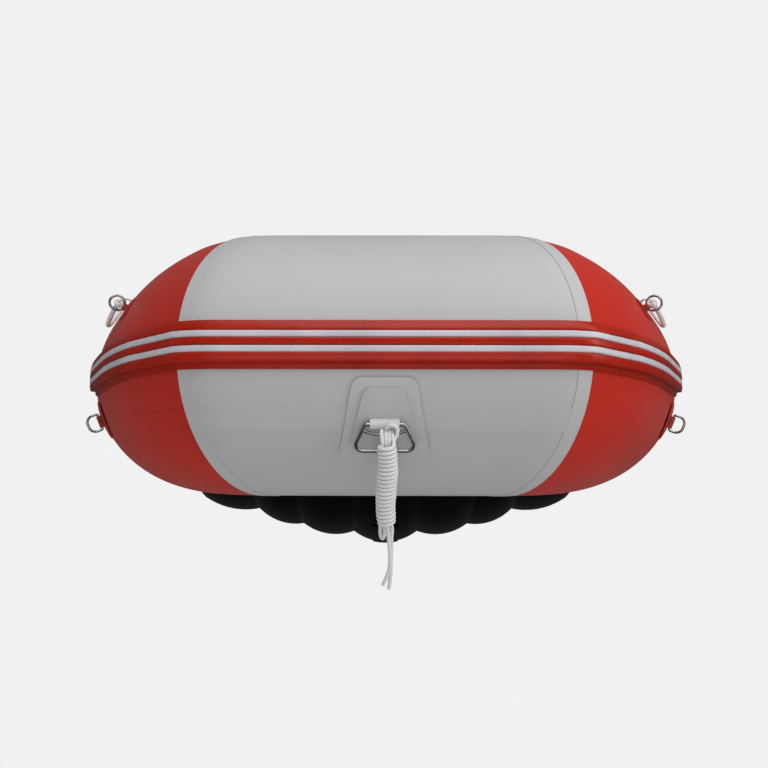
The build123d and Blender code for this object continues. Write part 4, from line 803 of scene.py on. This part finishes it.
def rope_mesh(name, line, radius, around=24, plaits=4, pitch=8.6):
    """A braided rope along a line: two sets of ridges that cross as they climb. Each point also keeps how deep in
    a groove it lies, for the material's painted shade.
    """
    places, length = evenly(line, radius * STEP)
    tangents = np.gradient(places, axis=0)
    tangents /= np.linalg.norm(tangents, axis=1)[:, None]
    side = np.cross(tangents[0], (0.31, 0.52, 0.79))
    builder = bmesh.new()
    painted_groove_shade = builder.verts.layers.float.new("painted_groove_shade")
    grid = []
    for number, (place, tangent) in enumerate(zip(places, tangents)):
        side = side - tangent * side.dot(tangent)
        side /= np.linalg.norm(side)
        other = np.cross(tangent, side)
        climb = number * STEP * plaits * pi / pitch
        ring = []
        for n in range(around):
            angle = 2 * pi * n / around
            ridge = max(abs(cos(plaits / 2 * angle + climb)), abs(cos(plaits / 2 * angle - climb)))
            reach = radius * (0.74 + 0.26 * ridge)
            corner_place = place + (side * cos(angle) + other * sin(angle)) * reach
            ring.append(builder.verts.new(corner_place))
            # How deep in a groove each point lies, which the rope's material turns into painted shade.
            ring[-1][painted_groove_shade] = (1 - ridge) / 0.3
        grid.append(ring)
    for row, after in zip(grid, grid[1:]):
        for i in range(around):
            j = (i + 1) % around
            builder.faces.new((row[i], row[j], after[j], after[i]))
    builder.faces.new(grid[0])
    builder.faces.new(grid[-1])
    piece = finish_mesh(name, builder, 80)
    print(name, "length", round(length, 4))
    return piece, [tuple(p) for p in places[:: 4]], length


# %% The painter
WRAPS = 20
TURN_POINTS = 14
WRAP_TOP, WRAP_FOOT = 23.0, 137.5


def hank_turns():
    """The hank's turns, from its top down, slightly fuller at the middle."""
    turns = []
    for n in range(WRAPS * TURN_POINTS - 3):
        share = n / (WRAPS * TURN_POINTS)
        angle = 2 * pi * n / TURN_POINTS
        radius = 9.6 + 2.1 * sin(pi * share) ** 0.5 + 0.25 * sin(23 * share)
        sway = 1.5 * sin(2 * pi * share) - 2.2
        down = WRAP_TOP + (WRAP_FOOT - WRAP_TOP) * share
        turns.append((5 + sway + radius * cos(angle), 21 + radius * sin(angle), down))
    return turns


long_route = [(9.6, 4.8, 8), (10.2, 8, 8.5), (10.6, 12, 13), (12, 16, 20)] + hank_turns()
long_route += [(4.5, 11.4, 138.6), (9, 13, 141.5), (10.6, 16, 147), (9.3, 19, 158), (9.6, 19, 176), (9.0, 19, 196),
               (8.6, 19, 214), (7.4, 19, 228), (5.9, 19, 238)]
short_route = [(1.4, 4.8, 7.5), (1.6, 8.5, 8), (2.0, 13, 14), (2.0, 17.5, 26), (2.2, 21, 80),
               (3.2, 22, 120), (4.6, 24.5, 144.6), (5.8, 24.9, 160), (7.4, 24.8, 178), (7.8, 24.8, 196),
               (5.2, 24.6, 210), (0.8, 24.5, 221), (-2.6, 24.4, 229)]
painter_pieces = []
for name, route in (("painter_long", long_route), ("painter_short", short_route)):
    exit_point = below(*route[0])
    piece, path, length = rope_mesh(name, smooth_line(name, [below(*p) for p in route]), ROPE_RADIUS)
    painter_pieces.append((piece, exit_point, path, length))

extra_routes = {
    "painter_strand_left": [(-3.6, 4.8, 6.5), (-4.4, 8, 7), (-3.8, 12, 13), (-2.4, 16.5, 23),
                            (-1, 19, 40)],
    "painter_strand_right": [(5.6, 4.8, 7), (6.2, 8, 7.5), (6.4, 12.5, 14), (5.6, 17.5, 24),
                             (4.5, 20, 40)],
    "painter_loop": [(2, 7, 4), (4.5, 9.5, -1.5), (10.5, 11, -3.5), (16.4, 10.5, 0), (17.6, 10, 8),
                     (14.4, 10.5, 16), (9.5, 13, 22)],
    "painter_bight": [(-5.4, 17, 128), (-5.8, 16, 145), (-6, 16, 156), (-2.8, 16.6, 162.5),
                      (0.2, 17, 156), (0, 17.5, 145), (-0.4, 18.5, 128)],
}
extras = {}
for name, route in extra_routes.items():
    extras[name] = rope_mesh(name, smooth_line(name, [below(*p) for p in route]), ROPE_RADIUS)[0]
    dress(extras[name], ROPE, "tow_ring")
replaced = (["painter_hank", "painter_tails"], ["painter_tie"])
carried = (["painter_loop", "painter_strand_right", "painter_bight"], ["painter_strand_left"])
for (piece, exit_point, path, length), nodes, names in zip(painter_pieces, replaced, carried):
    dress(piece, ROPE, "tow_ring", nodes)

# %% [markdown]
# ## Lifelines
# A rope runs along each side, through rings on small webbing tabs, and droops a little between
# them. Its route is worked out on the tube itself: high at each ring, lower midway.

# %% Lifelines
EYES = (radians(12) * SHOULDER_RADIUS, SHOULDER_LENGTH + radians(14) * QUARTER_RADIUS,
        SHOULDER_LENGTH + radians(32) * QUARTER_RADIUS, FULL + 0.380, FULL + 0.900)
EYE_ANGLES = (26, 45, 45, 45, 45)
EYE_HEIGHT = 0.0185
LINE_RADIUS = 0.004


def eye_angle(distance):
    """The rope's angle round the tube. It changes over the middle half of each span."""
    ends, angles = [EYES[0]], [EYE_ANGLES[0]]
    for first, last, low, high in zip(EYES, EYES[1:], EYE_ANGLES, EYE_ANGLES[1:]):
        ends += [first + (last - first) / 4, last - (last - first) / 4]
        angles += [low, high]
    return np.interp(distance, ends, angles)


def lifeline_point(distance, slack):
    height = EYE_HEIGHT + (0.006 - EYE_HEIGHT) * slack
    return station_at(distance).on_tube(eye_angle(distance) - 0.45 - 8 * slack,
                                       height)


line_route = [lifeline_point(EYES[0] - 0.016, 0.1)]
for first, last in zip(EYES, EYES[1:]):
    for n in range(4):
        line_route.append(lifeline_point(first + (last - first) * n / 4, sin(pi * n / 4) ** 2))
line_route += [lifeline_point(EYES[-1], 0), lifeline_point(EYES[-1] + 0.016, 0.1)]


def knot(name, centre, axis, size):
    """A stopper knot: a rope wound once round itself, as a thick trefoil."""
    side = axis.orthogonal().normalized()
    other = axis.cross(side).normalized()
    points = []
    for n in range(49):
        t = 2 * pi * n / 48
        reach = size * (0.62 + 0.38 * cos(3 * t))
        points.append(centre + (side * cos(2 * t) + other * sin(2 * t)) * reach
                      + axis * (size * 0.55 * sin(3 * t)))
    return rope_mesh(name, points, size * 0.5, around=18)[0]


for side, is_port in SIDES:
    flip = -1 if is_port else 1
    points = [Vector((p.x * flip, p.y, p.z)) for p in line_route]
    rope, _, _ = rope_mesh(f"{side}_lifeline_rope", smooth_line(side, points), LINE_RADIUS,
                            around=18)
    dress(rope, ROPE, replaced=[f"{side}_lifeline"])
    for end, (here, beyond) in (("fore", (points[0], points[1])), ("aft", (points[-1], points[-2]))):
        along = (beyond - here).normalized()
        stopper = knot(f"{side}_{end}_knot", here + along * 0.004, along, 0.0056)
        dress(stopper, ROPE)

# %% [markdown]
# ## Finishes for the pieces that keep their shape
# Patches, rings, valves, boards and fittings already have their true shape, so they only need the
# right material.

# %% Dress the remaining nodes
finishes = {
    GREY: ["tow_patch_base"],
    MOULDED_GREY: ["tow_patch", "seat_rails"],
    RED: ["side_ring_patches", "lifeline_patches", "chamber_baffles"],
    RED_WEBBING: ["lifeline_straps", "side_ring_straps"],
    STRAP: ["tow_strap"],
    STRAKE_RED: ["strake_ends"],
    BLACK: ["keel_strip", "floor_webs"],
    PLASTIC: ["cone_caps", "valve_bodies", "bow_valve_cap", "starboard_valve_cap",
              "port_valve_cap", "floor_valve_body", "floor_valve_cap", "drain_body", "drain_plug",
              "transom_brackets", "rowlock_bases", "grab_handles", "fore_thwart_clips",
              "aft_thwart_clips", "outer_motor_pad"],
    PLYWOOD: ["transom_board", "fore_thwart", "aft_thwart"],
    ALLOY: ["inner_motor_pad", "starboard_rowlock", "port_rowlock"],
    STEEL: ["tow_ring", "starboard_side_ring", "port_side_ring", "lifeline_rings", "stern_eyes"],
}
for material, names in finishes.items():
    for name in names:
        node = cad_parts[name]
        node.data.materials.clear()
        node.data.materials.append(material)

# %% [markdown]
# ## Screws and stitches
# Small fastenings repeat along lines, which is work for Geometry Nodes: points on a curve, one
# small shape on each, realised at the end so that the export keeps them.

# %% Rows of fastenings
def row_tree(name, shape, material):
    """Instances of a small shape at given points, each turned to face along its normal."""
    tree = bpy.data.node_groups.new(name, "GeometryNodeTree")
    tree.interface.new_socket("Geometry", in_out="INPUT", socket_type="NodeSocketGeometry")
    size = tree.interface.new_socket("Size", in_out="INPUT", socket_type="NodeSocketFloat")
    size.default_value = 1.0
    tree.interface.new_socket("Geometry", in_out="OUTPUT", socket_type="NodeSocketGeometry")
    new = tree.nodes.new
    start, end = new("NodeGroupInput"), new("NodeGroupOutput")
    info = new("GeometryNodeObjectInfo")
    info.inputs["Object"].default_value = shape
    facing = new("GeometryNodeInputNamedAttribute")
    facing.data_type = "FLOAT_VECTOR"
    facing.inputs["Name"].default_value = "facing"
    align = new("FunctionNodeAlignRotationToVector")
    align.axis = "Z"
    place = new("GeometryNodeInstanceOnPoints")
    realise = new("GeometryNodeRealizeInstances")
    paint = new("GeometryNodeSetMaterial")
    paint.inputs["Material"].default_value = material
    link = tree.links.new
    link(start.outputs["Geometry"], place.inputs["Points"])
    link(info.outputs["Geometry"], place.inputs["Instance"])
    link(facing.outputs[0], align.inputs["Vector"])
    link(align.outputs[0], place.inputs["Rotation"])
    link(start.outputs["Size"], place.inputs["Scale"])
    link(place.outputs[0], realise.inputs[0])
    link(realise.outputs[0], paint.inputs["Geometry"])
    link(paint.outputs[0], end.inputs[0])
    return tree, size.identifier


def screw_head():
    """A pan-head screw with a shallow round dimple in its top, 10 mm wide, pointing up."""
    builder = bmesh.new()
    profile = [(0.0, 0.0034), (0.0022, 0.0033), (0.0036, 0.0027), (0.0046, 0.0016), (0.005, 0.0)]
    around = 20
    rings = [[builder.verts.new((r * cos(2 * pi * n / around), r * sin(2 * pi * n / around), h))
              for n in range(around)] for r, h in profile[1:]]
    top = builder.verts.new((0, 0, profile[0][1] - 0.0012))
    for n in range(around):
        builder.faces.new((top, rings[0][n], rings[0][(n + 1) % around]))
    for row, after in zip(rings, rings[1:]):
        for n in range(around):
            m = (n + 1) % around
            builder.faces.new((row[n], after[n], after[m], row[m]))
    builder.faces.new(rings[-1][::-1])
    return finish_mesh("screw_pattern", builder, 50)


def fastening_row(name, places, facings, shape, material, body, size=1.0):
    mesh = bpy.data.meshes.new(name)
    mesh.from_pydata([tuple(p) for p in places], [], [])
    attribute = mesh.attributes.new("facing", "FLOAT_VECTOR", "POINT")
    attribute.data.foreach_set("vector", [v for f in facings for v in f])
    holder = bpy.data.objects.new(name, mesh)
    scene.collection.objects.link(holder)
    tree, identifier = row_tree(name, shape, material)
    modifier = holder.modifiers.new("row", "NODES")
    modifier.node_group = tree
    modifier[identifier] = size
    graph = bpy.context.evaluated_depsgraph_get()
    result = bpy.data.meshes.new_from_object(holder.evaluated_get(graph))
    holder.modifiers.clear()
    holder.data = result
    result.shade_smooth()
    result.set_sharp_from_angle(angle=radians(50))
    print(name, len(places), "fastenings,", len(result.polygons), "faces")
    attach(holder, body)
    return holder


def seats(node, spots, way):
    """Where screws driven along the boat meet a node: each spot is (x, z), and way is 1 or -1."""
    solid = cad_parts[node]
    surface = BVHTree.FromObject(solid, bpy.context.evaluated_depsgraph_get())
    low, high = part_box(node)
    start = high.y + 0.1 if way > 0 else low.y - 0.1
    hits = [surface.ray_cast(Vector((x, start, z)), Vector((0, -way, 0)))[0] for x, z in spots]
    return [hit for hit in hits if hit]


head = screw_head()
INSET = 0.018
screws, facings = [], []
for pad, way in (("outer_motor_pad", 1), ("inner_motor_pad", -1)):
    low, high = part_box(pad)
    spots = [(x, z) for x in (low.x + INSET, 0, high.x - INSET)
             for z in (low.z + INSET, high.z - INSET)]
    found = seats(pad, spots, way)
    screws += found
    facings += [(0, way, 0)] * len(found)
BRACKET_REACH = 0.012
for way in (1, -1):
    spots = []
    for flip in (1, -1):
        for angle in range(100, 220, 20):
            reach = TUBE + BRACKET_REACH
            spots.append((flip * (-AXIS.x - reach * cos(radians(angle))),
                          AXIS.z + reach * sin(radians(angle))))
    found = seats("transom_brackets", spots, way)
    screws += found
    facings += [(0, way, 0)] * len(found)
fastening_row("transom_screws", screws, facings, head, STEEL, "hull")

for thwart in ("fore_thwart", "aft_thwart"):
    low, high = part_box(thwart)
    places = []
    for x in (low.x + 0.030, high.x - 0.030):
        for share in (0.3, 0.7):
            places.append((x, low.y + (high.y - low.y) * share, high.z))
    fastening_row(f"{thwart}_screws", places, [(0, 0, 1)] * len(places), head, STEEL,
                  thwart, 1.3)
bpy.data.objects.remove(head)

# %% [markdown]
# ## Light and floor
# The boat stands on a pale, evenly lit floor, in soft light from above that is a little brighter
# from the right. The backdrop looks brighter to the camera than it is to the boat, as a lit
# sweep far behind the object does, so it doesn't wash out the deep red and the black floor.

# %% Studio
BACKDROP = 0.88
FLOOR_GLOW = 0.80
FLOOR_SHINE = 0.06
SKY_GLOW = 0.33
SKY_SHINE = 0.14


def studio_floor():
    mesh = bpy.data.meshes.new("studio_floor")
    mesh.from_pydata([(-30, -30, 0), (30, -30, 0), (30, 60, 0), (-30, 60, 0)], [], [(0, 1, 2, 3)])
    floor = bpy.data.objects.new("studio_floor", mesh)
    scene.collection.objects.link(floor)
    tree = Tree("studio_floor", Roughness=1.0, Specular_IOR_Level=0.0)
    tree.colour((0.0, 0.0, 0.0, 1.0))
    tree.shader.inputs["Emission Color"].default_value = (1.0, 1.0, 1.0, 1.0)
    tree.put(tree.shader.inputs["Emission Strength"], tree.glow(BACKDROP, FLOOR_GLOW, FLOOR_SHINE))
    mesh.materials.append(tree.material)


def area_light(name, place, aim, size, power):
    data = bpy.data.lights.new(name, "AREA")
    data.shape = "RECTANGLE"
    data.size, data.size_y = size
    data.energy = power
    light = bpy.data.objects.new(name, data)
    light.location = place
    light.rotation_euler = (Vector(aim) - Vector(place)).to_track_quat("-Z", "Y").to_euler()
    scene.collection.objects.link(light)


studio_floor()
world = bpy.data.worlds.new("studio")
world.use_nodes = True
sky = NodeBench(world.node_tree)
background = sky.nodes["Background"]
sky.put(background.inputs["Strength"], sky.glow(BACKDROP, SKY_GLOW, SKY_SHINE))
background.inputs["Color"].default_value = (1, 1, 1, 1)
scene.world = world
area_light("overhead", (0.6, -1.6, 3.4), (0, 0, 0.3), (3.0, 3.0), 74)
area_light("right", (3.4, -2.6, 1.9), (0.2, -1.0, 0.3), (1.4, 2.4), 42)
area_light("left", (-3.4, -2.4, 1.6), (-0.2, -1.0, 0.3), (1.2, 2.0), 3)
area_light("front", (0.3, -4.2, 0.9), (0, -1.4, 0.35), (2.4, 0.8), 10)
scene.view_settings.view_transform = "Standard"
